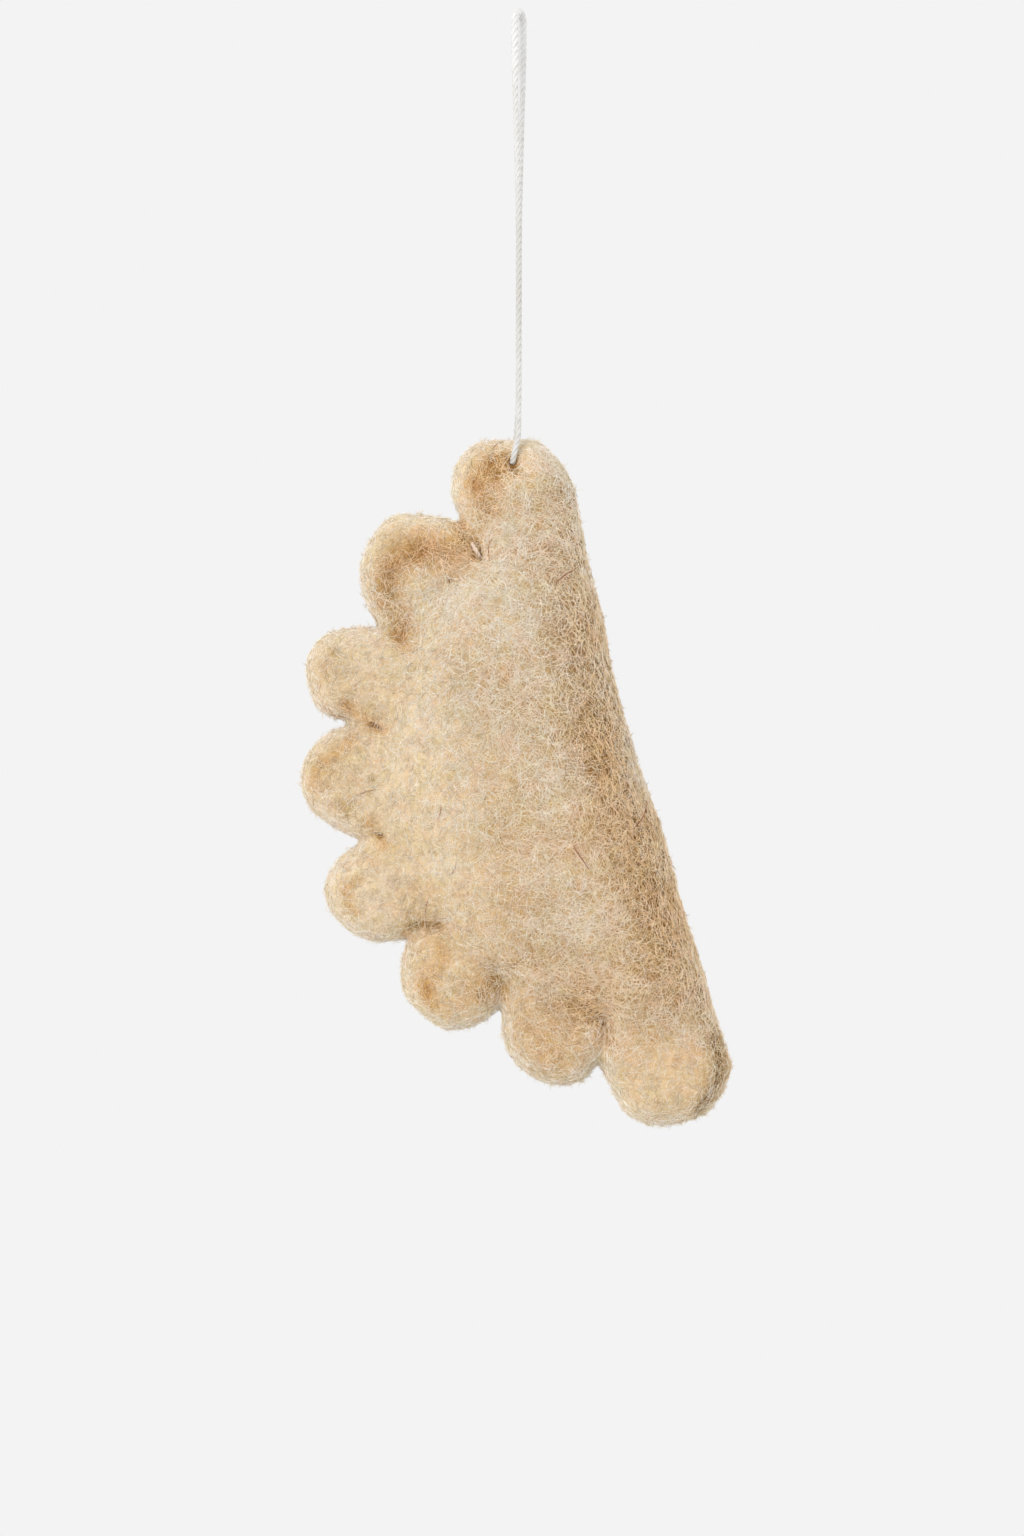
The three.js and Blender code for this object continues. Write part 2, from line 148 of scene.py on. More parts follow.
def tube(path, radius, sides):
    """Vertices and faces of a closed round tube along the path."""
    u, v = side_vectors(path)
    turn = full_turn(sides)
    radius = np.broadcast_to(radius, len(path))[:, None, None]
    rings = path[:, None] + radius * (
        u[:, None] * np.cos(turn)[None, :, None] + v[:, None] * np.sin(turn)[None, :, None]
    )
    n = len(path)
    i, k = np.meshgrid(np.arange(n - 1), np.arange(sides), indexing="ij")
    k2 = (k + 1) % sides
    quads = np.stack([i * sides + k, i * sides + k2, (i + 1) * sides + k2, (i + 1) * sides + k], -1)
    faces = quads.reshape(-1, 4).tolist()
    faces.append(list(range(sides))[::-1])
    faces.append([(n - 1) * sides + j for j in range(sides)])
    return rings.reshape(-1, 3), faces


def mesh_object(name, vertices, faces, smooth=True):
    """A mesh object from vertices in millimetres."""
    mesh = bpy.data.meshes.new(name)
    mesh.from_pydata((np.asarray(vertices) * MM).tolist(), [], faces)
    mesh.update()
    if smooth:
        mesh.polygons.foreach_set("use_smooth", [True] * len(mesh.polygons))
    made = bpy.data.objects.new(name, mesh)
    bpy.context.scene.collection.objects.link(made)
    return made


def joined(parts):
    """Several (vertices, faces) as one."""
    vertices, faces, first = [], [], 0
    for v, f in parts:
        vertices.append(v)
        faces += [[i + first for i in face] for face in f]
        first += len(v)
    return np.vstack(vertices), faces


def attribute(made, name, values):
    made.data.attributes.new(name, "FLOAT", "POINT").data.foreach_set("value", np.asarray(values, np.float32))


# Cord: its route in millimetres, as in the CAD source

CORD = 0.86
BEND = 2 * CORD
KNOT = 2.7
CLEARANCE = 0.3
HOLE_HALF = 2.3  # half the lobe's thickness at the hole
FLARE = BEND - (CORD / 2 + CLEARANCE)
LOOP_TURN = math.radians(66.6)  # the bight's turn from the photograph's plane
hole = np.array([-0.93, 0, -63.9])
knot_centre = np.array([hole[0], HOLE_HALF + FLARE - CLEARANCE + KNOT / 2, hole[2]])
front_route = [
    [-0.68, -1.58, -1.29], [-0.66, -1.68, -3.8], [-0.6, -1.81, -7], [-0.52, -1.97, -10.8],
    [-0.4, -2.15, -15.2], [-0.28, -2.32, -19.4], [-0.16, -2.5, -23.8], [-0.07, -2.67, -28],
    [-0.03, -2.84, -32], [-0.03, -3.07, -37.5], [-0.04, -3.29, -43], [-0.04, -3.52, -48.5],
    [-0.05, -3.75, -54], [-0.08, -3.92, -58], [-0.14, -4, -60.2],
]
back_route = [
    [0.68, 1.58, -1.29], [0.66, 1.69, -3.8], [0.6, 1.82, -7], [0.51, 1.99, -10.8], [0.39, 2.18, -15.2],
    [0.27, 2.36, -19.4], [0.15, 2.55, -23.8], [0.06, 2.73, -28], [0.01, 2.9, -32], [0, 3.13, -37.5],
    [-0.01, 3.37, -43], [-0.02, 3.6, -48.5], [-0.05, 3.84, -54], [-0.2, 4.05, -58], [-0.46, 4.21, -60.4],
    [-0.78, 4.33, -62.25],
]
tail_routes = [
    [[-1.2, 4.5, -64.6], [-1.9, 4.95, -66.2], [-2.3, 5.2, -68], [-2.2, 5.3, -69.8]],
    [[-0.6, 4.6, -64.7], [0, 5, -66.2], [0.5, 5.1, -67.8], [0.5, 5.4, -69.2]],
]
EYE_POINTS = 8
TURN_POINTS = 4
# The photograph shows no gap between the strands near the hook, where the slack cord is thicker
WIDE_TOP = 1.35
CLOSER_TOP = 0.14  # the strands are this share closer there
IN_KNOT = 0.6  # how far above the knot's centre the cord's end lies


def near_top(z):
    return smoothstep(-12.0, -6.0, z)


def loop_points():
    """From the knot up the back strand, over the hook, down the front strand and through the lobe."""
    hook = np.array([0, 0, CORD / 2 - BEND - (WIDE_TOP - 1) * CORD / 2])
    side = np.array([math.cos(LOOP_TURN), math.sin(LOOP_TURN), 0])
    up = np.array([0, 0, 1.0])
    points = [knot_centre + [0, 0, IN_KNOT]] + [np.array(p, float) for p in back_route[::-1]]
    for i in range(1, EYE_POINTS):
        turn = i / EYE_POINTS * math.pi
        points.append(hook + BEND * (side * math.cos(turn) + up * math.sin(turn)))
    points += [np.array(p, float) for p in front_route]
    lean = (hole - points[-1]) * [1, 0, 1]
    lean /= np.linalg.norm(lean)
    for i in range(TURN_POINTS + 1):
        turn = i / TURN_POINTS * math.pi / 2
        points.append(hole - lean * BEND * (1 - math.sin(turn)) - [0, HOLE_HALF + BEND * math.cos(turn), 0])
    points += [hole, knot_centre - [0, KNOT / 2, 0]]
    points = np.array(points)
    points[:, 0] *= 1 - CLOSER_TOP * near_top(points[:, 2])
    return points


PLIES = 3
PLY_OFFSET = 0.205  # from the cord's middle to a ply's middle
PLY = 0.228  # a ply's radius
LAY = 3.15  # the length in which a ply goes round once
CORD_STEP = 0.13
PLY_SIDES = 8

loop = evenly(spline(loop_points()), CORD_STEP)


def ply_lines(path, offset, lay, plies):
    """The middle lines of plies that wind round each other along the path."""
    u, v = side_vectors(path)
    turns = [2 * math.pi * (lengths_along(path) / lay + k / plies) for k in range(plies)]
    offset = np.broadcast_to(offset, len(path))[:, None]
    return [path + offset * (u * np.cos(turn)[:, None] + v * np.sin(turn)[:, None]) for turn in turns]


def strand(path, offset=PLY_OFFSET, ply=PLY, lay=LAY, plies=PLIES, sides=PLY_SIDES):
    """Vertices and faces of each ply of a twisted strand along the path."""
    return [tube(line, ply, sides) for line in ply_lines(path, offset, lay, plies)]


# The loop's plies are made over its whole length and then cut, so that its pieces meet
wide = 1 + (WIDE_TOP - 1) * near_top(loop[:, 2])
loop_plies = [
    tube(line, PLY * wide, PLY_SIDES)[0].reshape(len(loop), PLY_SIDES, 3)
    for line in ply_lines(loop, PLY_OFFSET * wide, LAY, PLIES)
]


def loop_piece(name, first, last):
    """The piece of the loop from one of its points to another."""
    faces = tube(loop[first : last + 1], PLY, PLY_SIDES)[1]
    return mesh_object(name, *joined([(ply[first : last + 1].reshape(-1, 3), faces) for ply in loop_plies]))


top = int(loop[:, 2].argmax())
FRONT_POINTS = 500  # fewer than the front strand has, down to its turn into the lobe


def back_at(z):
    """The back strand's point at a height."""
    return int(np.abs(loop[:top, 2] - z).argmin())


def front_at(z):
    """The front strand's point at a height."""
    return top + int(np.abs(loop[top : top + FRONT_POINTS, 2] - z).argmin())


NECK_CUT, UPPER_CUT, LOWER_CUT = -5.0, -10.5, -58.0
cord_crown = loop_piece("cord_crown", back_at(NECK_CUT), front_at(NECK_CUT))
neck_back = loop_piece("cord_neck_back_piece", back_at(UPPER_CUT), back_at(NECK_CUT))
neck_front = loop_piece("cord_neck_front_piece", front_at(NECK_CUT), front_at(UPPER_CUT))
strand_back = loop_piece("cord_strand_back", back_at(LOWER_CUT), back_at(UPPER_CUT))
strand_front = loop_piece("cord_strand_front", front_at(UPPER_CUT), front_at(LOWER_CUT))
cord_tie = loop_piece("cord_tie", 0, back_at(LOWER_CUT))
cord_bight = loop_piece("cord_bight", front_at(LOWER_CUT), len(loop) - 1)

# The knot: the cord's two ends, tied in one round knot, and what is left of them hanging down
KNOT_POINTS = 96
KNOT_SCALE = 0.33  # of a trefoil 6 mm across
FRAYS = 26  # loose threads at each tail's end
FRAY_SPREAD = [0.45, 0.35, 0.25]
FRAY_LENGTHS = 0.5, 1.5
FRAY_RADII = np.linspace(0.04, 0.02, 7)
rng = np.random.default_rng(11)
t = full_turn(KNOT_POINTS)
trefoil = np.stack([np.sin(t) + 2 * np.sin(2 * t), -np.sin(3 * t) * 1.6, np.cos(t) - 2 * np.cos(2 * t)], 1)
knot_path = evenly(np.vstack([trefoil, trefoil[:1]]) * KNOT_SCALE, CORD_STEP) + knot_centre
knot_parts = strand(knot_path)
for route in tail_routes:
    tail = evenly(spline([knot_centre, *route]), CORD_STEP)
    knot_parts += strand(tail)
    for _ in range(FRAYS):
        away = rng.normal(size=3) * FRAY_SPREAD + [0, 0, -1]
        start = tail[-1] + rng.normal(size=3) * 0.15
        tip = start + unit(away) * rng.uniform(*FRAY_LENGTHS)
        bend = (start + tip) / 2 + rng.normal(size=3) * 0.12
        knot_parts.append(tube(spline([start, bend, tip], 3), FRAY_RADII, 3))
cord_knot = mesh_object("cord_knot_piece", *joined(knot_parts))
cord_pieces = [cord_crown, neck_back, neck_front, strand_back, strand_front, cord_tie, cord_bight, cord_knot]

# How much darker and warmer the cord is drawn: least at the hook, and most halfway down
for piece in cord_pieces:
    heights = np.array([vertex.co.z for vertex in piece.data.vertices]) / MM
    cord_darkening = 0.37 * smoothstep(-7.0, -12.0, heights) + 0.3 * smoothstep(-20.0, -45.0, heights)
    attribute(piece, "cord_darkening", cord_darkening + 0.4 * bell(heights + 35.0, 10.0))


# Felt: its outline in shares of half its length and of its depth, as in the CAD source

LENGTH = 101.6
DEPTH = 50
DOME_HALF = 13.4
LEAN = math.radians(15.47)  # of the fold from upright
HOLE_INSET = 3.5
FOLD_ROUND = 12
CORNER_SHARE = 0.86
SEAM_SHARE = 0.76
DOME_RISE_SHARE = 0.46
SPINE_END_SHARE, SPINE_LOW_SHARE, SPINE_RISE_SHARE = 0.6, 0.15, 0.16
lobe_shares = [
    [[-0.803, -0.004], [-0.885, 0.018], [-0.952, 0.064], [-0.98, 0.145], [-0.997, 0.226], [-0.957, 0.3],
     [-0.886, 0.341], [-0.8, 0.342]],
    [[-0.8, 0.342], [-0.842, 0.43], [-0.859, 0.519], [-0.815, 0.597], [-0.745, 0.65], [-0.656, 0.663],
     [-0.575, 0.65]],
    [[-0.575, 0.65], [-0.592, 0.733], [-0.584, 0.808], [-0.534, 0.865], [-0.463, 0.88], [-0.387, 0.87],
     [-0.332, 0.808]],
    [[-0.332, 0.808], [-0.315, 0.881], [-0.268, 0.946], [-0.196, 0.978], [-0.119, 0.965], [-0.06, 0.915],
     [-0.005, 0.866]],
    [[-0.005, 0.866], [0.033, 0.939], [0.092, 0.988], [0.17, 0.99], [0.239, 0.951], [0.28, 0.886],
     [0.3, 0.806]],
    [[0.3, 0.806], [0.371, 0.84], [0.45, 0.85], [0.518, 0.815], [0.574, 0.761], [0.583, 0.684],
     [0.565, 0.604]],
    [[0.565, 0.604], [0.631, 0.613], [0.7, 0.604], [0.76, 0.566], [0.801, 0.508], [0.813, 0.439],
     [0.786, 0.372]],
    [[0.786, 0.372], [0.859, 0.352], [0.933, 0.331], [0.985, 0.272], [1, 0.19], [0.994, 0.109],
     [0.951, 0.044], [0.884, 0.002]],
]
fold_shares = [
    [0.884, 0.002], [0.778, 0.008], [0.62, 0.013], [0.431, 0.018], [0.21, 0.017], [0.04, 0.028],
    [-0.13, 0.036], [-0.3, 0.032], [-0.415, 0.022], [-0.563, 0.018], [-0.7, 0.006], [-0.803, -0.004],
]
crease_end_shares = [
    [-0.672, 0.314], [-0.515, 0.583], [-0.286, 0.712], [-0.001, 0.785], [0.281, 0.7], [0.481, 0.565],
    [0.659, 0.315],
]
SCALE = np.array([LENGTH / 2, DEPTH])
hole_rim, lobe_middle = np.array([-0.978, 0.135]) * SCALE, np.array([-0.8, 0.17]) * SCALE
hole_place = hole_rim + unit(lobe_middle - hole_rim) * HOLE_INSET
cos_lean, sin_lean = math.cos(LEAN), math.sin(LEAN)


def to_world(p):
    """Felt places (along the fold, across it, depth), in millimetres, as points of the frame."""
    along, across = p[..., 0] - hole_place[0], p[..., 1] - hole_place[1]
    x = -cos_lean * across + sin_lean * along + hole[0]
    z = -sin_lean * across - cos_lean * along + hole[2]
    return np.stack([x, p[..., 2], z], -1)


def from_hole(places):
    """How far felt places are from the middle of the cord's hole, seen from the front."""
    return np.linalg.norm(places[..., :2] - hole_place, axis=-1)


def spots(*pixels):
    """The felt places, along and across, that the photograph shows at pixels."""
    px, py = np.array(pixels, float).T
    x = (px - HOOK_PIXEL[0]) * PIXEL - hole[0]
    z = (HOOK_PIXEL[1] - py) * PIXEL - hole[2]
    return hole_place + np.stack([sin_lean * x - cos_lean * z, -cos_lean * x - sin_lean * z], 1)


LOBE_STEPS, FOLD_STEPS = 14, 12
lobes = [spline(np.array(lobe) * SCALE, LOBE_STEPS)[:-1] for lobe in lobe_shares]
fold = spline(np.array(fold_shares) * SCALE, FOLD_STEPS)[:-1]
rim = np.vstack([*lobes, fold])
notches = np.array([lobe[0] for lobe in lobe_shares[1:]]) * SCALE
crease_ends = np.array(crease_end_shares) * SCALE

# The felt's surface is where a field over a grid of cells is zero
CELL = 0.39
A_AXIS = np.arange(-53.5, 53.5, CELL)
C_AXIS = np.arange(-2.5, 52.5, CELL)
Y_AXIS = np.arange(-15.5, 15.5, CELL)
A2, C2 = np.meshgrid(A_AXIS, C_AXIS, indexing="ij")
FLAT = np.stack([A2.ravel(), C2.ravel()], 1)


def to_line(points, line, closed=False):
    """Each point's distance to a line through given places."""
    ends = np.roll(line, -1, 0) if closed else line[1:]
    starts = line if closed else line[:-1]
    best = np.full(len(points), np.inf)
    for p, q in zip(starts, ends):
        run = q - p
        share = np.clip(((points - p) @ run) / max(run @ run, 1e-12), 0, 1)
        best = np.minimum(best, ((points - p - share[:, None] * run) ** 2).sum(1))
    return np.sqrt(best)


def inside(points, line):
    """Which points a closed line goes round."""
    within = np.zeros(len(points), bool)
    for p, q in zip(line, np.roll(line, -1, 0)):
        if p[1] == q[1]:
            continue
        level_with = (p[1] > points[:, 1]) != (q[1] > points[:, 1])
        line_at = p[0] + (points[:, 1] - p[1]) / (q[1] - p[1]) * (q[0] - p[0])
        within ^= level_with & (points[:, 0] < line_at)
    return within


# How far each place is inside the felt's outline
RIM_IN = 0.17  # leaves room for the fibres that lie over the felt
NOTCH_IN, NOTCH_WIDE = 0.25, 1.5
edge = to_line(FLAT, rim, closed=True)
edge = np.where(inside(FLAT, rim), edge, -edge) - RIM_IN
for notch in notches:
    edge -= NOTCH_IN * bell(np.linalg.norm(FLAT - notch, axis=1), NOTCH_WIDE)
SEAM_ENDS = 8  # the rim's points at each end of the lobes where the seam doesn't open
crimp_edge = to_line(FLAT, np.vstack(lobes)[SEAM_ENDS:-SEAM_ENDS])

# The dome rises from the seam behind the lobes to a spine, in shares of half the length and of the depth
SPINE_SOFT, RISE_SOFT = 0.16, 0.12
RIM_ROUND = 4.2
u_share, v_share = FLAT[:, 0] / SCALE[0], FLAT[:, 1] / SCALE[1]
reach = np.hypot(u_share, v_share)
spine = SPINE_LOW_SHARE + SPINE_RISE_SHARE * (1 - np.minimum(1, np.abs(u_share) / SPINE_END_SHARE) ** 2)
beyond = v_share - spine
crown = spine + (np.hypot(beyond, SPINE_SOFT) + beyond) / 2
rise = (SEAM_SHARE - np.hypot(u_share, crown)) / DOME_RISE_SHARE
rise = np.clip((np.hypot(rise, RISE_SOFT) + rise) / 2, 0, 1)
fold_side = smoothstep(0.45, 0.18, v_share)
fold_middle = 1 - np.clip((u_share / CORNER_SHARE) ** 2, 0, 1)
round_in = RIM_ROUND + (FOLD_ROUND - RIM_ROUND) * fold_middle * fold_side

# Each lobe's share of each place, which passes smoothly from one lobe to the next
LOBE_BLEND = 0.06  # radians
angle = np.arctan2(v_share, -u_share)
notch_angles = np.arctan2(notches[:, 1] / SCALE[1], -notches[:, 0] / SCALE[0])
borders = np.r_[0, notch_angles, math.pi]
past = [smoothstep(border - LOBE_BLEND, border + LOBE_BLEND, angle) for border in borders]
lobe_weights = [low * (1 - high) for low, high in zip(past, past[1:])]
total = sum(lobe_weights) + 1e-9
lobe_weights = [weight / total for weight in lobe_weights]


def over_lobes(values):
    """Each lobe's value at the places in that lobe."""
    return sum(value * weight for value, weight in zip(values, lobe_weights))


# Half the felt's thickness: in each lobe, and in the dome, with a valley between them
LOBE_HALF = [3.3, 4.1, 4.6, 4.6, 4.7, 4.8, 4.9, 5.8]
VALLEY_DEEP = [0.5, 1.1, 0.5, 0.4, 0.5, 0.8, 1.2, 0.3]
VALLEY_WIDE = 2.4
low_half = over_lobes(LOBE_HALF)
half = low_half + (DOME_HALF - low_half) * (1 - (1 - rise) ** 2)
valley = over_lobes(VALLEY_DEEP) * bell((reach - SEAM_SHARE) * DEPTH, VALLEY_WIDE)

# The rims of the first two lobes are rolled, and inside each roll is a hollow: how deep it is, how far in
# from the rim, and how wide
roll_1 = lobe_weights[0] * smoothstep(0.16, 0.24, v_share) * smoothstep(0.62, 0.7, reach)
roll_2 = lobe_weights[1] * smoothstep(0.66, 0.74, reach)
for roll, deep, place, wide in ((roll_1, 1.0, 3.6, 1.3), (roll_2, 1.1, 4.6, 2.0)):
    valley += deep * roll * bell(edge - place, wide)
half -= valley

# Each notch draws the felt in along a crease
CREASE_HALF, CREASE_SIDE = 4.4, 2.0
CREASE_DEEP, CREASE_WIDE = 0.6, 0.7
for notch, crease_end in zip(notches, crease_ends):
    away = to_line(FLAT, np.array([notch, crease_end]))
    half += (np.minimum(half, CREASE_HALF) - half) * bell(away, CREASE_SIDE)
    half -= CREASE_DEEP * bell(away, CREASE_WIDE)

# The one stitch that shows lies in a short open slit
SLIT_HALF, SLIT_WIDE = 2.2, 0.6
slit_line = spots((475.5, 549), (479, 560))
slit = to_line(FLAT, slit_line)
half += (np.minimum(half, SLIT_HALF) - half) * bell(slit, SLIT_WIDE)

# Creases that the photograph shows away from the notches
DARK_DEEP, DARK_WIDE = 0.55, 1.1
dark_lines = {
    "over lobe 7": [(548, 990), (575, 1001), (602, 1016), (610, 1040)],
    "beside lobe 5": [(405, 930), (425, 922), (442, 926)],
    "beside lobe 6": [(500, 1005), (503, 985), (490, 968)],
}
THINNEST = 1.2
for line in dark_lines.values():
    half -= DARK_DEEP * bell(to_line(FLAT, spots(*line)), DARK_WIDE)
half = np.maximum(half, THINNEST)

# The dark fold at the end of lobe 8, on the front alone, and the dimple round the cord's hole
CORNER_DEEP, CORNER_WIDE = 1.2, 1.0
DIMPLE_DEEP, DIMPLE_WIDE = 0.8, 1.6
corner_pixels = [(713, 1040), (718, 1052), (719, 1070), (716, 1086), (709, 1099), (700, 1109)]
corner = bell(to_line(FLAT, spots(*corner_pixels)), CORNER_WIDE)
dimple = bell(from_hole(FLAT), DIMPLE_WIDE)
front_half = np.maximum(half - CORNER_DEEP * corner - DIMPLE_DEEP * dimple, THINNEST)
back_half = np.maximum(half - DIMPLE_DEEP * dimple, THINNEST)


NOISE_CELLS = 64


def between_cells(grid, i, f):
    """The grid's value at shares f of the way from its cells i to the next ones. The grid repeats."""
    total = 0
    for steps in itertools.product((0, 1), repeat=3):
        wx, wy, wz = (f[..., k] if step else 1 - f[..., k] for k, step in enumerate(steps))
        cell = tuple((i[..., k] + step) % grid.shape[k] for k, step in enumerate(steps))
        total += wx * wy * wz * grid[cell]
    return total


def lattice_noise(points, size, seed):
    """Smooth noise of about -1 to 1, with lumps of a given size."""
    random = np.random.default_rng(seed)
    grid = random.uniform(-1, 1, (NOISE_CELLS, NOISE_CELLS, NOISE_CELLS))
    turned, _ = np.linalg.qr(random.normal(size=(3, 3)))
    p = points @ turned / size + 1000.37  # the shift keeps every place positive
    i = np.floor(p).astype(int)
    return between_cells(grid, i, smoothstep(0, 1, p - i))


# The field: a rounded slab, less the open seam at the lobes' rims, less the cord's hole
SEAM_OPEN, SEAM_DEEP = 0.4, 1.5
HOLE_FLARE, FLARE_AT = 0.2, 3  # how much wider the hole gets, and how far from the middle of the felt
STEEPEST = 4  # the field grows by at most this from the middle of the felt to its surface
slope = (np.maximum(0, round_in - edge) / round_in).reshape(A2.shape)
side_of = np.where(Y_AXIS < 0, 0, 1)
halves = np.stack([front_half.reshape(A2.shape), back_half.reshape(A2.shape)], -1)[..., side_of]
field = (np.hypot(slope[..., None], Y_AXIS / halves) - 1) * np.minimum(halves, STEEPEST)
seam_open = (SEAM_OPEN * (1 - crimp_edge / SEAM_DEEP)).reshape(A2.shape)
field = np.maximum(field, (seam_open[..., None] - np.abs(Y_AXIS)))
hole_away = from_hole(FLAT).reshape(A2.shape)
hole_wide = CORD / 2 + HOLE_FLARE * np.clip(np.abs(Y_AXIS) / FLARE_AT, 0, 1) ** 4
field = np.maximum(field, hole_wide - hole_away[..., None])


def sample(grid, p):
    """A grid's value at places, between its cells."""
    q = (p - [A_AXIS[0], C_AXIS[0], Y_AXIS[0]]) / CELL
    q = np.clip(q, 0, np.array(grid.shape[:3]) - 1.001)
    i = q.astype(int)
    return between_cells(grid, i, q - i)


def surface_net(grid):
    """Vertices, as felt places, and four-sided faces of the surface where the grid is zero."""
    n = np.array(grid.shape)
    low = grid < 0
    crossing = np.zeros(n - 1, bool)
    total = np.zeros((*(n - 1), 3))
    count = np.zeros(n - 1)

    def shifted(offset):
        return grid[tuple(slice(offset[k], n[k] - 1 + offset[k]) for k in range(3))]

    for axis, *others in itertools.product(range(3), (0, 1), (0, 1)):
        start = np.insert(others, axis, 0)
        end = np.insert(others, axis, 1)
        a, b = shifted(start), shifted(end)
        cut = (a < 0) != (b < 0)
        share = np.where(cut, a / np.where(cut, a - b, 1), 0)
        for k in range(3):
            total[..., k] += np.where(cut, start[k] + (share if k == axis else 0), 0)
        count += cut
        crossing |= cut
    index = -np.ones(n - 1, int)
    cells = np.argwhere(crossing)
    index[crossing] = np.arange(len(cells))
    vertices = cells + total[crossing] / count[crossing][:, None]
    faces = []
    for axis in range(3):
        step1, step2 = np.delete(np.eye(3, dtype=int), axis, 0)
        part = low[tuple(slice(None) if k == axis else slice(1, -1) for k in range(3))]
        change = np.diff(part.astype(int), axis=axis)
        for way_out in (True, False):
            cell = np.argwhere(change == (-1 if way_out else 1))
            quad = [cell, cell + step1, cell + step1 + step2, cell + step2]
            ids = np.stack([index[tuple(q.T)] for q in quad], 1)
            flip = way_out == (axis == 1)
            faces.append(ids[:, ::-1] if flip else ids)
    return vertices * CELL + [A_AXIS[0], C_AXIS[0], Y_AXIS[0]], np.vstack(faces)


vertices, faces = surface_net(field)
gradient = np.stack(np.gradient(field, CELL), -1)


def normals_at(p):
    return unit(np.stack([sample(gradient[..., k], p) for k in range(3)], 1))


def onto_surface(p):
    """Places moved along the field to the surface."""
    for _ in range(2):
        g = np.stack([sample(gradient[..., k], p) for k in range(3)], 1)
        steep = np.maximum((g**2).sum(1), 0.09)
        p = p - g * (np.clip(sample(field, p), -1, 1) / steep)[:, None]
    return p


# The felt's own surface: soft lumps over the field's surface, each kind with its size, height and seed
LUMPS = [(9.0, 0.22, 21), (4.2, 0.1, 22), (1.9, 0.045, 23)]


def lumps(p):
    return sum(height * lattice_noise(p, size, seed) for size, height, seed in LUMPS)


felt_points = vertices + normals_at(vertices) * lumps(vertices)[:, None]
felt_body = mesh_object("felt_body", to_world(felt_points), faces.tolist())


# How the wool looks from place to place. Its mottling: how much, the size of the patches and the seed
MOTTLE = [(0.5, 7.5, 31), (0.3, 3.1, 32), (0.16, 1.4, 33)]
# The fold's edge is painted darker as shade, and paler near its middle as light; the band beside it is
# painted shade, where the felt turns from the lamp; the crimped rim is painted paler, a highlight
FOLD_WIDE = 2.5  # the fold itself
BAND_AT, BAND_WIDE = 4.0, 5.8  # the dark band beside it
RIM_WIDE = 1.8  # the pale crimped rim
crimp_rim = np.vstack(lobes)[10:-10:3]

# Wide patches: the place, along and across, how wide it is each way, how much darker and how much warmer
# Those at the fold's edge, 1 to 2 across, are painted shade, but for the paler and whiter one at -6 along,
# which is painted light; the pale one at (-12, 30) is painted light where the dome faces the lamp
patches = [
    (-32, 16, 12, 10, -0.18, 0), (-12, 30, 19, 8, -0.12, -0.2), (-14, 14, 8, 4.5, 0.04, 0.2),
    (18, 13, 18, 5, -0.1, 0), (4, 42, 7, 5, -0.1, -0.4), (18, 20, 7, 5, 0.04, 0.2),
    (-6, 1.5, 8, 3, -0.06, -0.7), (-42, 14, 10, 12, -0.03, 0.35), (-18, 18, 6, 5, 0.06, 0.2),
    (5, 8, 9, 6, -0.03, 0.25), (32, 16, 9, 14, -0.03, 0.3), (10, 28, 13, 5, -0.06, 0),
    (-34, 1, 12, 3, 0.07, 0.1), (30, 1, 8, 3, 0.07, 0.1), (-14, 30, 7, 5, 0.08, 0),
    (-40, 5, 5, 4, -0.11, 0), (36, 23, 5, 4, -0.07, 0), (25, 14, 7, 5, -0.06, 0),
    (24, 36, 5, 4, 0.07, 0), (5, 2, 8, 3, 0.06, 0), (8, 18, 6, 5, 0, -0.15),
]
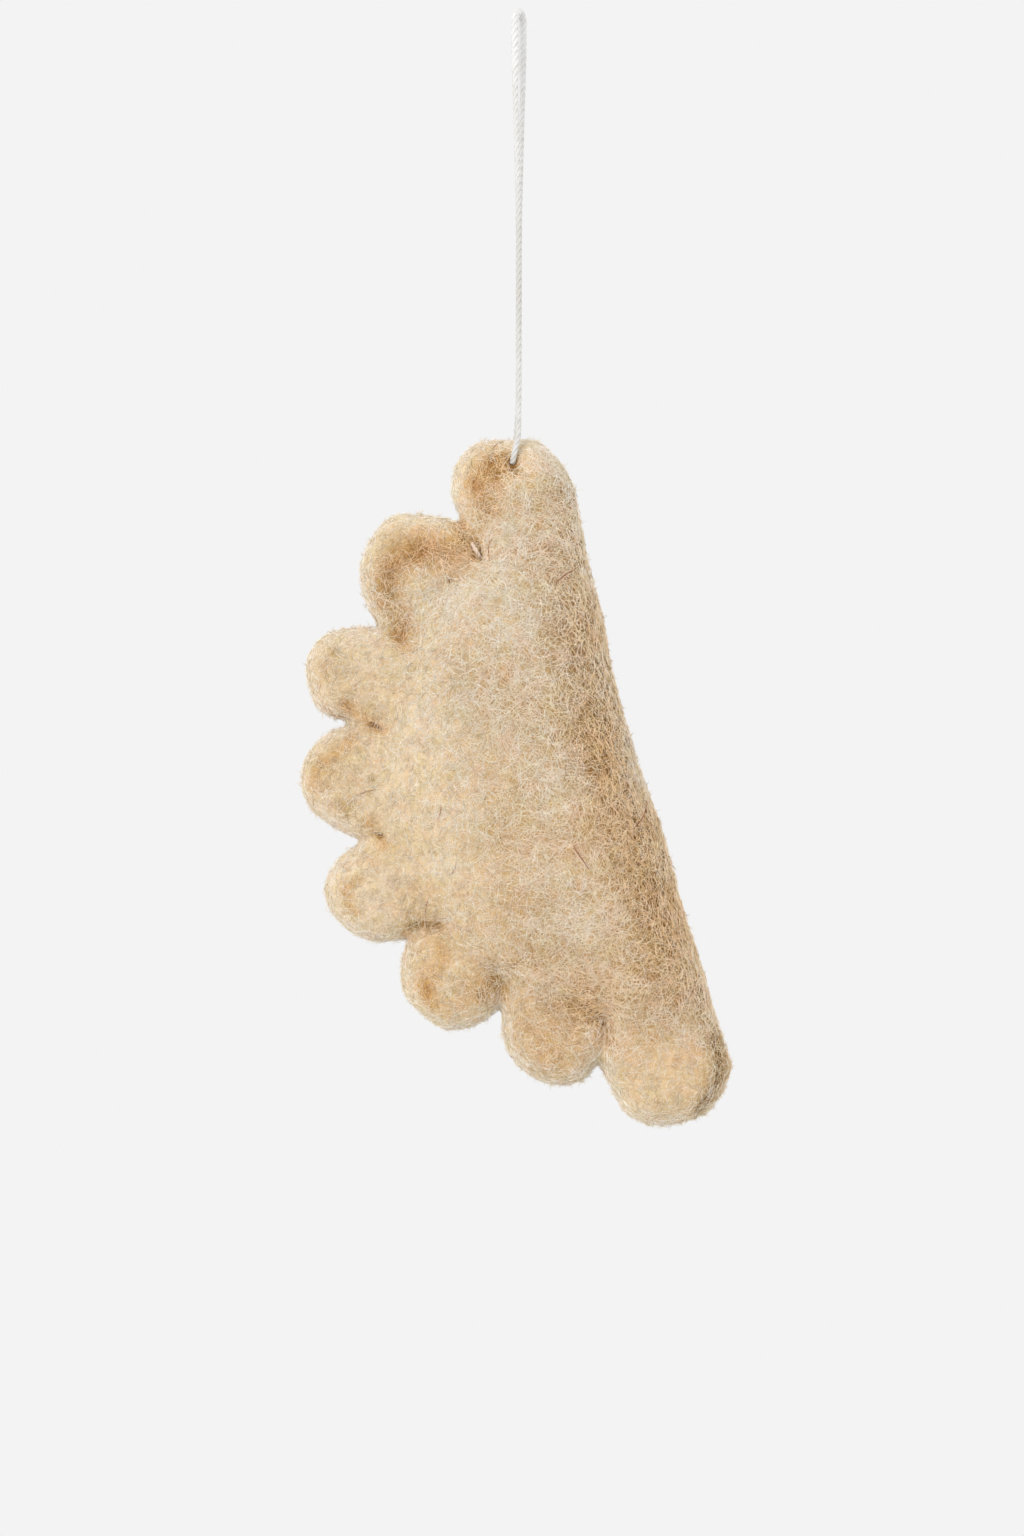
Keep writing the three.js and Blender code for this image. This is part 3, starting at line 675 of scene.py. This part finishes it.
# Round tints and painted shade: pixel, radius in pixels, how much darker and how much warmer, and whether the
# back has it too
tints_and_shade = {
    "lobe 1 and the cord's hole": [
        (477, 486, 13, 0.14, 0.9, 1), (470, 470, 16, -0.1, 0.1, 1), (498, 468, 15, 0.4, 0.8, 1),
        # (514, 470) is painted shade in the dimple where the cord goes in
        (490, 512, 12, 0.15, 0.3, 1), (514, 470, 6, 0.5, 0.0, 1), (536, 470, 12, -0.15, 0.0, 1),
    ],
    "below and beside lobe 1": [
        (458, 572, 12, 0.12, 0.2, 0), (450, 581, 3, 0.8, 0.2, 0), (576, 520, 22, -0.1, 0.1, 0),
    ],
    "dome": [
        (670, 960, 30, -0.14, -0.1, 0), (540, 850, 40, -0.08, 0.35, 0), (470, 620, 34, -0.08, 0.2, 0),
        # (590, 740) is more painted shade in the band beside the fold
        (590, 1018, 14, 0.1, 0.1, 0), (590, 740, 30, 0.08, 0.4, 0), (500, 765, 34, 0, 0.5, 0),
    ],
    "lobes 3 to 5": [
        (340, 665, 32, -0.06, -0.4, 1), (345, 790, 34, 0.0, -0.2, 1), (375, 895, 34, -0.05, -0.45, 1),
    ],
    "lobe 3": [
        (335, 653, 5, 0.4, 0.1, 1), (345, 668, 18, 0.1, 0.2, 1), (320, 671, 11, 0.06, 0.5, 1),
        (345, 704, 5, 0.2, 0.4, 1),
    ],
    "lobe 4": [
        (328, 785, 4, 0.3, 0.1, 1), (358, 771, 5, 0.3, 0.1, 1), (372, 779, 4, 0.5, 0.2, 1),
        (341, 805, 6, 0.35, 0.2, 1), (354, 801, 7, 0.2, 0.1, 1), (347, 815, 6, 0.2, 0.2, 1),
        (352, 790, 20, 0.06, 0.1, 1),
    ],
    "lobe 5": [
        (369, 823, 8, 0.1, 0.5, 1), (369, 858, 8, 0.04, 0.5, 1), (388, 893, 18, 0.08, 0.1, 1),
        (407, 932, 6, 0.1, 0.9, 1), (414, 917, 8, 0.2, -0.1, 1),
    ],
    "lobe 6": [
        # (495, 984), (482, 996) and (494, 971) are painted shade in the crease beside lobe 6
        (427, 988, 9, 0.18, 0.65, 1), (495, 984, 17, 0.34, 0.2, 1), (482, 996, 6, 0.3, 0.1, 1),
        (494, 971, 9, 0.2, 0.0, 1), (470, 990, 14, 0.12, 0.3, 1), (446, 1002, 16, 0.06, 0.3, 1),
        (450, 990, 14, -0.03, -0.5, 1),
    ],
    "lobe 7": [
        # (586, 1006) is a painted shadow where the dome overhangs lobe 7
        (586, 1006, 20, 0.34, 0.5, 1), (556, 1056, 8, 0.2, 0.4, 1), (545, 1035, 16, 0.05, 0.2, 1),
    ],
    "lobe 8": [
        (660, 1078, 26, -0.06, 0.2, 1), (625, 1040, 15, -0.05, 0.1, 1), (652, 1037, 6, 0.15, 0.6, 1),
        (677, 1059, 5, 0.15, 0.5, 1),
    ],
    "pale fleck in the dark band": [(622, 729, 5, -0.5, -0.3, 0)],
}
# Tints and painted shade along lines: pixels, width in pixels, and the rest as above
tint_and_shade_lines = {
    "top of lobe 2": ([(467, 554), (431, 549)], 14, 0.22, 0.6, 1),
    "inside the roll of lobe 2": (
        [(415, 554), (400, 560), (388, 577), (382, 592), (392, 612), (400, 630)], 16, 0.32, 0.7, 1,
    ),
    "darkest in lobe 2": ([(392, 575), (386, 592)], 8, 0.12, 0.1, 1),
    "inside the roll of lobe 1": ([(505, 458), (486, 470), (478, 490), (485, 512)], 10, 0.15, 0.2, 1),
    # Painted shade in the crease between lobes 1 and 2, and in the slit beside the stitch
    "notch 1": ([(459, 527), (470, 545), (480, 562)], 8, 0.4, 0.8, 1),
    "beside the stitch": ([(477, 543), (482, 552), (485, 562)], 2, 0.7, 0.3, 0),
    "notch 2": ([(398, 636), (406, 644)], 7, 0.08, 0.5, 1),
    "notch 3": ([(346, 706), (360, 716), (384, 731)], 6, 0.1, 0.9, 1),
    # Painted shade at the crease's end
    "end of notch 3": ([(373, 724), (382, 730)], 2, 0.8, 0.3, 1),
    "upper side of lobe 4": ([(312, 786), (316, 772), (329, 760), (354, 741)], 7, 0.08, 0.8, 1),
    "notch 4": ([(369, 824), (378, 833), (385, 845)], 6, 0.1, 0.8, 1),
    # Painted shade at the crease's end
    "end of notch 4": ([(377, 833), (381, 836)], 2, 0.8, 0.3, 1),
    "inside lobe 5": ([(358, 879), (347, 889), (350, 902), (356, 912)], 6, 0.15, 0.8, 1),
    # Painted shade in the notch's crease
    "notch 5": ([(411, 926), (425, 923), (440, 926)], 4, 0.45, 0.4, 1),
    "left of lobe 6": ([(424, 979), (426, 990), (432, 1003)], 5, 0.1, 0.5, 1),
    "above lobe 6": ([(435, 971), (443, 957), (440, 937)], 6, 0.05, 0.5, 1),
    # Painted shadow where the dome overhangs lobe 7
    "over lobe 7": ([(548, 1008), (575, 1002), (598, 1016), (609, 1030), (611, 1043)], 6, 0.25, 0.2, 1),
    # Painted shade in the fold
    "fold at the end of lobe 8": (corner_pixels, 7, 0.62, -0.1, 0),
}

# All of these as lines of felt places, a round one without length, with their widths in millimetres
marks = []
for px, py, radius, *rest in itertools.chain(*tints_and_shade.values()):
    marks.append((spots((px, py), (px, py)), radius * PIXEL, *rest))
for pixels, width, *rest in tint_and_shade_lines.values():
    marks.append((spots(*pixels), width * PIXEL, *rest))


def look(p):
    """The wool's shade (0 pale to 1 dark), looseness (0 felted smooth to 1) and warmth at felt places. The
    shade is partly the wool's own mottling and partly painted shade and light.
    """
    a, c, y = p[:, 0], p[:, 1], p[:, 2]
    place = p[:, :2]
    mottle = sum(much * lattice_noise(p, size, seed) for much, size, seed in MOTTLE)
    # Painted highlight: the crimped rims are painted paler and whiter, for the light caught in their fuzz
    painted_rim_highlight = bell(to_line(place, crimp_rim), RIM_WIDE)
    # Painted shade along the fold's edge, with painted light near its middle
    painted_fold_shade = bell(c, FOLD_WIDE)
    dome = smoothstep(-56, -40, a) * (1 - smoothstep(32, 46, a))
    # Painted shade: the band beside the fold, where the felt turns from the lamp
    band = bell(c - BAND_AT, BAND_WIDE) * smoothstep(-42, -16, a) * (1 - smoothstep(26, 42, a))
    shade = 0.5 * band + 0.16 * painted_fold_shade * (1 - 1.3 * bell(a + 6, 8)) - 0.2 * painted_rim_highlight
    loose = 0.3 + 0.7 * dome * smoothstep(40, 12, c + 12 * smoothstep(-32, -44, a))
    shade += (0.1 + 0.13 * loose) * mottle
    warm = 0.15 * lattice_noise(p, 8.5, 34) + 0.12 * lattice_noise(p, 3.5, 35) + 0.25 * mottle
    # The painted shade band is painted warmer too, as the browner shade deep in the wool
    warm += 0.75 * band + 0.22 * smoothstep(-20, 25, a) - 0.6 * painted_rim_highlight - 0.1 * painted_fold_shade
    for at_a, at_c, wide_a, wide_c, dark, tint in patches:
        near = bell(a - at_a, wide_a) * bell(c - at_c, wide_c)
        shade += dark * near
        warm += tint * near
    front = y < 0.5
    for line, width, dark, tint, both in marks:
        near = bell(to_line(place, line), width) * (front | both)
        shade += dark * near
        warm += (tint + 0.5 * dark) * near
        loose += 0.6 * max(dark, 0) * near
    return shade, np.clip(loose, 0, 1), warm


shade, loose, warm = look(vertices)
attribute(felt_body, "shade", shade)
attribute(felt_body, "loose", smoothstep(0.35, 1.0, loose))
attribute(felt_body, "warm", warm)

# Wool fibres that lie over the felt
FIBRES = 106000  # places tried, of which some are left out below
FIBRES_PER_PIECE = 7650
FIBRE_PIECES = 10
FIBRE_POINTS = 5
FIBRE_LENGTHS = 1.0, 2.6
WOBBLE = 0.25  # of a fibre's height
FREE_SHARE = 0.3  # of the fibres stand off the felt at their ends
FREE_LIFTS = 0.1, 0.5
SLIT_CLEAR = 0.3  # from the open slit
CORD_CLEAR = 0.75  # the cord pushes the fibres this far from its middle
rng = np.random.default_rng(5)


def scatter(count):
    """Places spread evenly over the felt's surface."""
    corners = vertices[faces]
    across = np.linalg.norm(np.cross(corners[:, 2] - corners[:, 0], corners[:, 3] - corners[:, 1]), axis=1)
    chosen = rng.choice(len(faces), count, p=across / across.sum())
    s, t = rng.uniform(size=(2, count, 1))
    q = corners[chosen]
    return q[:, 0] * (1 - s) * (1 - t) + q[:, 1] * s * (1 - t) + q[:, 2] * s * t + q[:, 3] * (1 - s) * t


def fibres(roots, length, curl, lift, free):
    """Fibres' points: each runs over the surface, curls, and rises in its middle or at its free end."""
    n = normals_at(roots)
    way = unit(np.cross(n, unit(rng.normal(size=roots.shape))))
    steps = FIBRE_POINTS - 1
    here = roots
    out = []
    turn = rng.normal(size=len(roots)) * curl
    twist = rng.normal(size=len(roots)) * curl * 0.7
    for k in range(FIBRE_POINTS):
        share = k / steps
        wobble = WOBBLE * rng.normal(size=len(roots)) * (0 < k < steps)
        height = lift * (np.sin(math.pi * share) + wobble) + free * share**2
        place = onto_surface(here)
        n = normals_at(place)
        out.append(place + n * (lumps(place) + height)[:, None])
        way = unit(way - n * (way * n).sum(1, keepdims=True))
        bend = (turn + twist * (share - 0.5) * 2) / steps
        way = unit(way * np.cos(bend)[:, None] + np.cross(n, way) * np.sin(bend)[:, None])
        here = place + way * (length / steps)[:, None]
    return np.stack(out, 1)


def bake_map(made, n, m):
    """A UV map: each of n fibres with m rings has its own square, and each of its faces a part of that."""
    side = math.ceil(math.sqrt(n))
    square = np.stack([np.arange(n) % side, np.arange(n) // side], -1)
    inset = 0.1
    corners = np.array([[inset, inset], [1 - inset, inset], [1 - inset, 1 - inset], [inset, 1 - inset]])
    j, k = np.meshgrid(np.arange(m - 1), np.arange(3), indexing="ij")
    quad = (np.stack([k, j], -1)[:, :, None] + corners) / [3, m]  # ring, side, corner
    quads = (square[:, None, None, None] + quad[None]) / side
    cap = (np.array([[0, m - 1], [1.5, m - 1]])[:, None] + corners[:3] * [1.5, 1]) / [3, m]
    caps = (square[None, :, None] + cap[:, None]) / side
    layer = made.data.uv_layers.new(name="OFBake")
    layer.uv.foreach_set("vector", np.concatenate([quads.ravel(), caps.ravel()]).astype(np.float32))


def fibre_mesh(name, paths, radius, tone, warm):
    """One mesh of thin three-sided fibres with pointed ends, each with its tone and warmth."""
    n, m, _ = paths.shape
    along = unit(np.gradient(paths, axis=1))
    up = normals_at(paths.reshape(-1, 3)).reshape(paths.shape)
    u = unit(np.cross(along, up))
    v = np.cross(u, along)
    taper = np.ones(m)
    taper[[0, -1]] = 0.25
    size = radius[:, None, None] * taper[None, :, None]
    turns = [math.pi * (1 / 2 + 2 / 3 * k) for k in range(3)]
    rings = np.stack([paths + size * (u * math.cos(turn) + v * math.sin(turn)) for turn in turns], 2)
    base = (np.arange(n) * m * 3)[:, None, None] + (np.arange(m - 1) * 3)[None, :, None]
    k = np.arange(3)[None, None, :]
    k2 = (k + 1) % 3
    quads = np.stack([base + k, base + k2, base + 3 + k2, base + 3 + k], -1).reshape(-1, 4)
    first = (np.arange(n) * m * 3)[:, None]
    ends = np.vstack([first + [2, 1, 0], first + (m - 1) * 3 + [0, 1, 2]])
    made = mesh_object(name, to_world(rings.reshape(-1, 3)), quads.tolist() + ends.tolist())
    attribute(made, "tone", np.repeat(tone, m * 3))
    attribute(made, "warm", np.repeat(warm, m * 3))
    bake_map(made, n, m)
    return made


def between(low, high, share):
    return low + (high - low) * share


roots = onto_surface(scatter(FIBRES))
roots = roots[(from_hole(roots) > CORD) & (to_line(roots[:, :2], slit_line) > SLIT_CLEAR)]
roots = roots[rng.uniform(size=len(roots)) < between(0.6, 1.0, look(roots)[1])]
roots = roots[: FIBRES_PER_PIECE * FIBRE_PIECES]
shade_here, loose_here, warm_here = look(roots)
count = len(roots)
layer = rng.uniform(0, 1, count)  # from the bottom to the top of the fibres
length = rng.uniform(*FIBRE_LENGTHS, count) + 1.4 * loose_here * smoothstep(0.5, 0.8, layer)
curl = between(0.8, 1.5, loose_here) * (1.2 - 0.6 * layer)
pressed = smoothstep(5.0, 1.5, from_hole(roots))  # by the cord, where it lies on the wool
lift = between(0.03, 0.16, loose_here) * (0.1 + layer) * (1 - 0.7 * pressed)
free = np.where(rng.uniform(size=count) < FREE_SHARE, rng.uniform(*FREE_LIFTS, count), 0) * (1 - pressed)
paths = fibres(roots, length, curl, lift, free)
push = np.maximum(1, CORD_CLEAR / np.maximum(from_hole(paths), 0.01))
paths[..., :2] = hole_place + (paths[..., :2] - hole_place) * push[..., None]
radius = between(0.028, 0.034, loose_here) * rng.uniform(0.7, 1.3, count)
# Loose fibres are painted paler, making up for the shade they cast on one another, and lit paints the lower
# fibres darker and the upper ones paler: painted shade and light
lit = between(0.15, 0.5, loose_here) * (layer - 0.5)
spread = between(0.08, 0.36, loose_here) * rng.normal(size=count)
tone = np.clip(between(0.63, 1.17, loose_here) - 0.55 * shade_here + (lit + spread), 0, 1)
fibre_warm = warm_here + 0.25 * rng.normal(size=count)
fibre_pieces = []
for k in range(FIBRE_PIECES):
    mine = np.arange(k, count, FIBRE_PIECES)
    piece = fibre_mesh(f"wool_fibres_{k + 1}", paths[mine], radius[mine], tone[mine], fibre_warm[mine])
    fibre_pieces.append(piece)

# Short hairs that stand out of the felt in tufts, fewer of them where it faces the front or the back
FUZZ = 25000  # tufts tried for each piece
FUZZ_KEPT = 14000  # hairs in each piece, at most
FUZZ_PIECES = 2
TUFT = 4
FUZZ_CLEAR = 2.8  # from the middle of the hole
FACING_SHARE = 0.35  # of the tufts are kept there
HAIR_LENGTHS = 0.4, 1.5
HAIR_RADII = 0.026, 0.046
for k in range(FUZZ_PIECES):
    roots = onto_surface(scatter(FUZZ))
    roots = roots[from_hole(roots) > FUZZ_CLEAR]
    n = normals_at(roots)
    share_kept = FACING_SHARE + (1 - FACING_SHARE) * (np.abs(n[:, 1]) < 0.5)
    roots = roots[rng.uniform(size=len(roots)) < share_kept][: FUZZ_KEPT // TUFT]
    count = len(roots) * TUFT
    way = np.repeat(rng.normal(size=roots.shape), TUFT, axis=0) + 0.6 * rng.normal(size=(count, 3))
    long = np.repeat(rng.uniform(*HAIR_LENGTHS, (len(roots), 1)), TUFT, axis=0)
    long = long * rng.uniform(0.6, 1.1, (count, 1))
    roots = onto_surface(np.repeat(roots, TUFT, axis=0) + 0.09 * rng.normal(size=(count, 3)))
    n = normals_at(roots)
    lean = unit(n * rng.uniform(0.3, 1.0, (count, 1)) + unit(np.cross(n, way)))
    start = roots + n * (lumps(roots)[:, None] - 0.05)
    knee = start + lean * long * 0.55
    tip = knee + unit(lean + 0.9 * unit(rng.normal(size=roots.shape))) * long * 0.5
    shade_here, _, warm_here = look(roots)
    hair_tone = np.clip(0.76 - 0.4 * shade_here + 0.12 * rng.normal(size=count), 0, 1)
    hair_radius = rng.uniform(*HAIR_RADII, count)
    hairs = np.stack([start, knee, tip], 1)
    fibre_pieces.append(fibre_mesh(f"wool_fuzz_{k + 1}", hairs, hair_radius, hair_tone, warm_here))

# A few long reddish hairs among the wool: those that the photograph shows, and some at random
STRAY_LIFT, STRAY_RADIUS, STRAY_TONE = 0.62, 0.075, 0.1
FRONT_DEPTH = -8.0  # where the search for the front's surface starts
STRAYS = 26  # at random
STRAY_LENGTHS = 2.0, 4.5
STRAY_RADII = 0.035, 0.055
stray_lines = {
    "top of the dome": [(553, 590), (557, 583), (566, 576), (575, 569)],
    "middle of the dome": [(572, 843), (577, 852), (583, 860), (588, 868)],
    "near the fold": [(643, 803), (641, 813), (636, 822), (628, 830)],
}
stray_paths = []
for line in stray_lines.values():
    flat = spline(spots(*line), 8)
    flat = flat[np.linspace(0, len(flat) - 1, FIBRE_POINTS).round().astype(int)]
    start = np.column_stack([flat, np.full(len(flat), FRONT_DEPTH)])
    for _ in range(12):
        start = onto_surface(start)
        start[:, :2] = flat
    stray_paths.append(start + normals_at(start) * (lumps(start)[:, None] + STRAY_LIFT))
roots = onto_surface(scatter(STRAYS))
count = len(roots)
length = rng.uniform(*STRAY_LENGTHS, count)
more = fibres(roots, length, np.full(count, 1.2), np.full(count, 0.25), np.zeros(count))
stray_paths = np.concatenate([np.stack(stray_paths), more])
count = len(stray_paths)
placed = np.arange(count) < len(stray_lines)
stray_radius = np.where(placed, STRAY_RADIUS, rng.uniform(*STRAY_RADII, count))
stray_tone = np.where(placed, STRAY_TONE, rng.uniform(0, 1, count))
strays = fibre_mesh("stray_hairs", stray_paths, stray_radius, stray_tone, np.zeros(count))

# Stitches: a ring of two-ply thread in each notch, drawn into the felt. The photograph shows the first one
RING_POINTS = 36
RING_HALF, FIRST_RING_HALF = 1.9, 3.6  # half the ring's height, from front to back
NOTCH_GAP = 1.7  # between the notch and the ring
END_PAST = 0.3  # how far the ring reaches past the crease's end
first_stitch = spots((472, 541), (481, 562))
turn = full_turn(RING_POINTS)[:, None]
stitches = []
for k, (notch, end) in enumerate(zip(notches, crease_ends)):
    run = unit(notch - end)
    outer, inner = (notch - run * NOTCH_GAP, end - run * END_PAST) if k else first_stitch
    half_run = np.linalg.norm(outer - inner) / 2
    flat = (outer + inner) / 2 + run * half_run * np.cos(turn)
    ring = np.hstack([flat, (RING_HALF if k else FIRST_RING_HALF) * np.sin(turn)])
    path = to_world(evenly(np.vstack([ring, ring[:1]]), 0.12))
    plies = strand(path, offset=0.14, ply=0.175, lay=1.5, plies=2, sides=7)
    stitches.append(mesh_object(f"stitch_{k + 1}", *joined(plies)))


# Materials

def put(socket, value):
    """Gives a socket a value, or a link from another node's output."""
    if isinstance(value, bpy.types.NodeSocket):
        socket.id_data.links.new(value, socket)
    else:
        socket.default_value = value


def adder(tree):
    """A function that adds a node to the tree, fills its sockets and gives one of its outputs."""
    def add(kind, sockets=(), out=0, **settings):
        node = tree.nodes.new(kind)
        for key, value in settings.items():
            setattr(node, key, value)
        for key, value in dict(sockets).items():
            put(node.inputs[key], value)
        return node.outputs[out]

    return add


def material(name, roughness, sheen=0.0, sheen_roughness=0.5, specular=0.3):
    """A material, its shader, and the function that adds nodes to it."""
    made = bpy.data.materials.new(name)
    made.use_nodes = True
    shader = made.node_tree.nodes["Principled BSDF"]
    put(shader.inputs["Roughness"], roughness)
    put(shader.inputs["Sheen Weight"], sheen)
    put(shader.inputs["Sheen Roughness"], sheen_roughness)
    put(shader.inputs["Specular IOR Level"], specular)
    return made, shader, adder(made.node_tree)


def stored(add, name):
    return add("ShaderNodeAttribute", out="Fac", attribute_name=name)


def maths(add, operation, *values):
    return add("ShaderNodeMath", dict(enumerate(values)), operation=operation)


def noise(add, scale, detail, **sockets):
    sockets.update(Scale=scale, Detail=detail, Vector=add("ShaderNodeTexCoord", out="Object"))
    return add("ShaderNodeTexNoise", sockets, out="Fac")


def mix_colour(add, factor, a, b, kind="MULTIPLY"):
    return add("ShaderNodeMix", {0: factor, 6: a, 7: b}, out=2, data_type="RGBA", blend_type=kind)


def map_range(add, value, low, high, to_low, to_high):
    sockets = {"Value": value, "From Min": low, "From Max": high, "To Min": to_low, "To Max": to_high}
    return add("ShaderNodeMapRange", sockets)


def ramp(add, source, stops):
    """The colour between the stops that the source stands at."""
    colour = add("ShaderNodeValToRGB", {"Fac": source}, out="Color")
    elements = colour.node.color_ramp.elements
    while len(elements) < len(stops):
        elements.new(0.5)
    for element, (position, stop) in zip(elements, stops):
        element.position, element.color = position, stop
    return colour


WOOL_STOPS = [
    (0.0, linear(112, 82, 42)), (0.25, linear(163, 134, 90)), (0.5, linear(209, 184, 145)),
    (0.75, linear(237, 220, 189)), (1.0, linear(255, 251, 242)),
]
SHEEN = linear(255, 238, 208)


def wool(add, level):
    """The wool's colour from dark to pale, more orange where it is warm and whiter where it is cool."""
    warm = stored(add, "warm")
    colour = ramp(add, level, WOOL_STOPS)
    orange = map_range(add, warm, 0.0, 1.3, 0.0, 0.8)
    colour = mix_colour(add, orange, colour, linear(255, 221, 168))
    white = map_range(add, warm, 0.0, -1.0, 0.0, 0.45)
    colour = mix_colour(add, white, colour, linear(240, 224, 206), "MIX")
    hue = noise(add, 420.0, 3.0, Roughness=0.6)
    pink = map_range(add, hue, 0.5, 0.7, 0.0, 0.35)
    colour = mix_colour(add, pink, colour, linear(255, 234, 224))
    green = map_range(add, hue, 0.5, 0.3, 0.0, 0.45)
    return mix_colour(add, green, colour, linear(244, 240, 208))


felt_material, shader, add = material("wool_felt", 1.0, 0.1, 0.6, 0.1)
put(shader.inputs["Sheen Tint"], SHEEN)
fine = noise(add, 2600.0, 4.0, Roughness=0.7, Distortion=1.5)
place = add("ShaderNodeTexCoord", out="Object")
matted = add("ShaderNodeTexVoronoi", {"Scale": 1500.0, "Vector": place}, out="Distance", feature="F1")
# The felt under the fibres is painted darker than they are, more so where they lie loose: painted shade in
# the gaps between them
gap_shade_level = maths(add, "MULTIPLY_ADD", stored(add, "loose"), -0.14, 0.5)
darkness = maths(add, "MULTIPLY_ADD", stored(add, "shade"), -0.6, gap_shade_level)
fleck = maths(add, "MULTIPLY_ADD", fine, 0.7, darkness)
put(shader.inputs["Base Color"], wool(add, maths(add, "SUBTRACT", fleck, 0.36)))
height = maths(add, "ADD", fine, matted)
bump = add("ShaderNodeBump", {"Strength": 0.6, "Distance": 0.00025, "Height": height})
put(shader.inputs["Normal"], bump)

fibre_material, shader, add = material("wool_fibre", 0.8, 0.18, 0.6, 0.2)
put(shader.inputs["Sheen Tint"], SHEEN)
level = maths(add, "MULTIPLY_ADD", noise(add, 900.0, 2.0), 0.16, stored(add, "tone"))
put(shader.inputs["Base Color"], wool(add, maths(add, "SUBTRACT", level, 0.08)))

DARKENING_TINT = linear(232, 230, 225)


def twine(name, pale, deep):
    """Twisted cotton: pale, with fine darker flecks, painted shade for the crevices between its threads."""
    made, shader, add = material(name, 0.8, 0.2, 0.4, 0.3)
    fuzz = noise(add, 5000.0, 3.0, Roughness=0.7)
    soft = noise(add, 450.0, 2.0)
    colour = ramp(add, maths(add, "MULTIPLY", fuzz, soft), [(0.1, deep), (0.34, pale)])
    put(shader.inputs["Base Color"], mix_colour(add, stored(add, "cord_darkening"), colour, DARKENING_TINT))
    bump = add("ShaderNodeBump", {"Strength": 0.5, "Distance": 0.00008, "Height": fuzz})
    put(shader.inputs["Normal"], bump)
    return made


cotton = twine("cotton_cord", linear(225, 225, 225), linear(212, 210, 206))
thread = twine("stitch_thread", linear(228, 208, 189), linear(200, 177, 154))

stray_material, shader, add = material("stray_hair", 0.6, 0.1, 0.4, 0.3)
level = maths(add, "MULTIPLY_ADD", noise(add, 900.0, 2.0), 0.3, stored(add, "tone"))
stray_colours = [(0.0, linear(132, 64, 34)), (0.8, linear(178, 98, 58))]
put(shader.inputs["Base Color"], ramp(add, level, stray_colours))

for pieces, finish in (
    ([felt_body], felt_material), (fibre_pieces, fibre_material), ([strays], stray_material),
    (cord_pieces, cotton), (stitches, thread),
):
    for piece in pieces:
        piece.data.materials.append(finish)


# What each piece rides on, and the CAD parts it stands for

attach(felt_body, "ornament")
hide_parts("felt_wrapper", "wool_stuffing")
for piece in [*fibre_pieces, strays]:
    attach(piece, "ornament")
for k, piece in enumerate(stitches):
    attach(piece, "ornament")
    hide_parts(f"crimp_stitch_{k + 1}")


def at(z):
    """The place, in metres, at a height from the hook in millimetres."""
    return (0, 0, z * MM)


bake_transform(cord_crown)
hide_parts("cord_eye")
for piece, node_name in ((neck_back, "cord_neck_back"), (neck_front, "cord_neck_front")):
    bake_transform(piece)
    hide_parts(node_name)
for piece, side in ((strand_back, "back"), (strand_front, "front")):
    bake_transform(piece)
    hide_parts(f"cord_upper_{side}", f"cord_lower_{side}")
for piece in (cord_tie, cord_bight, cord_knot):
    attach(piece, "loop_lower")
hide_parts("cord_knot")

for piece, first, last, others in (
    (strand_front, front_at(UPPER_CUT), front_at(LOWER_CUT), [neck_front, cord_bight]),
    (strand_back, back_at(LOWER_CUT), back_at(UPPER_CUT), [neck_back, cord_tie, cord_knot, cord_crown]),
):
    line = loop[first : last + 1] * MM
    long = float(lengths_along(line)[-1])
    if line[0, 2] > line[-1, 2]:
        line = line[::-1]

# Floor, background and light

BACKGROUND = linear(243, 243, 243)
FLOOR_DROP = -0.30
FLOOR_INNER, FLOOR_WIDE = 0.2, 0.55
FLOOR_STEPS = 96

turn = full_turn(FLOOR_STEPS)
circle = np.column_stack([np.cos(turn), np.sin(turn), np.zeros(FLOOR_STEPS)])
floor_points = np.vstack([circle * FLOOR_INNER, circle * FLOOR_WIDE]) + [0, 0, FLOOR_DROP]
floor_faces = [list(range(FLOOR_STEPS))]
for i in range(FLOOR_STEPS):
    after = (i + 1) % FLOOR_STEPS
    floor_faces.append([i, FLOOR_STEPS + i, FLOOR_STEPS + after, after])
floor = mesh_object("floor", floor_points / MM, floor_faces, smooth=False)
floor_material, shader, add = material("pale_floor", 0.9)
put(shader.inputs["Base Color"], linear(226, 226, 226))
place = add("ShaderNodeTexCoord", out="Object")
away = add("ShaderNodeVectorMath", {0: place}, out="Value", operation="LENGTH")
light_path = add("ShaderNodeLightPath").node.outputs
seen = maths(add, "MAXIMUM", light_path["Is Camera Ray"], light_path["Is Glossy Ray"])
share = maths(add, "MULTIPLY", seen, map_range(add, away, 0.32, 0.6, 0.0, 1.0))
plain = add("ShaderNodeEmission", {"Color": BACKGROUND})
faded = add("ShaderNodeMixShader", {0: share, 1: shader.outputs[0], 2: plain})
put(floor_material.node_tree.nodes["Material Output"].inputs["Surface"], faded)
floor.data.materials.append(floor_material)

AMBIENT = 0.86
world = bpy.data.worlds.new("world")
bpy.context.scene.world = world
world.use_nodes = True
nodes = world.node_tree.nodes
add = adder(world.node_tree)
put(nodes["Background"].inputs["Color"], (1, 1, 1, 1))
put(nodes["Background"].inputs["Strength"], AMBIENT)
shown = add("ShaderNodeBackground", {"Color": BACKGROUND})
light_path = add("ShaderNodeLightPath").node.outputs
seen = maths(add, "MAXIMUM", light_path["Is Camera Ray"], light_path["Is Transmission Ray"])
mixed = add("ShaderNodeMixShader", {0: seen, 1: nodes["Background"].outputs[0], 2: shown})
put(nodes["World Output"].inputs["Surface"], mixed)


def lamp(name, place, watts, size):
    """A soft lamp that points at the ornament."""
    light = bpy.data.lights.new(name, "AREA")
    light.energy, light.size = watts, size
    made = bpy.data.objects.new(name, light)
    made.location = place
    target = np.array([0, 0, -0.11])
    made.rotation_euler = Vector(target - np.array(place)).to_track_quat("-Z", "Y").to_euler()
    bpy.context.scene.collection.objects.link(made)


lamp("key", (-0.42, -1.08, 0.22), 8.0, 0.6)
lamp("side", (0.9, 0.5, 0.0), 3.6, 0.7)
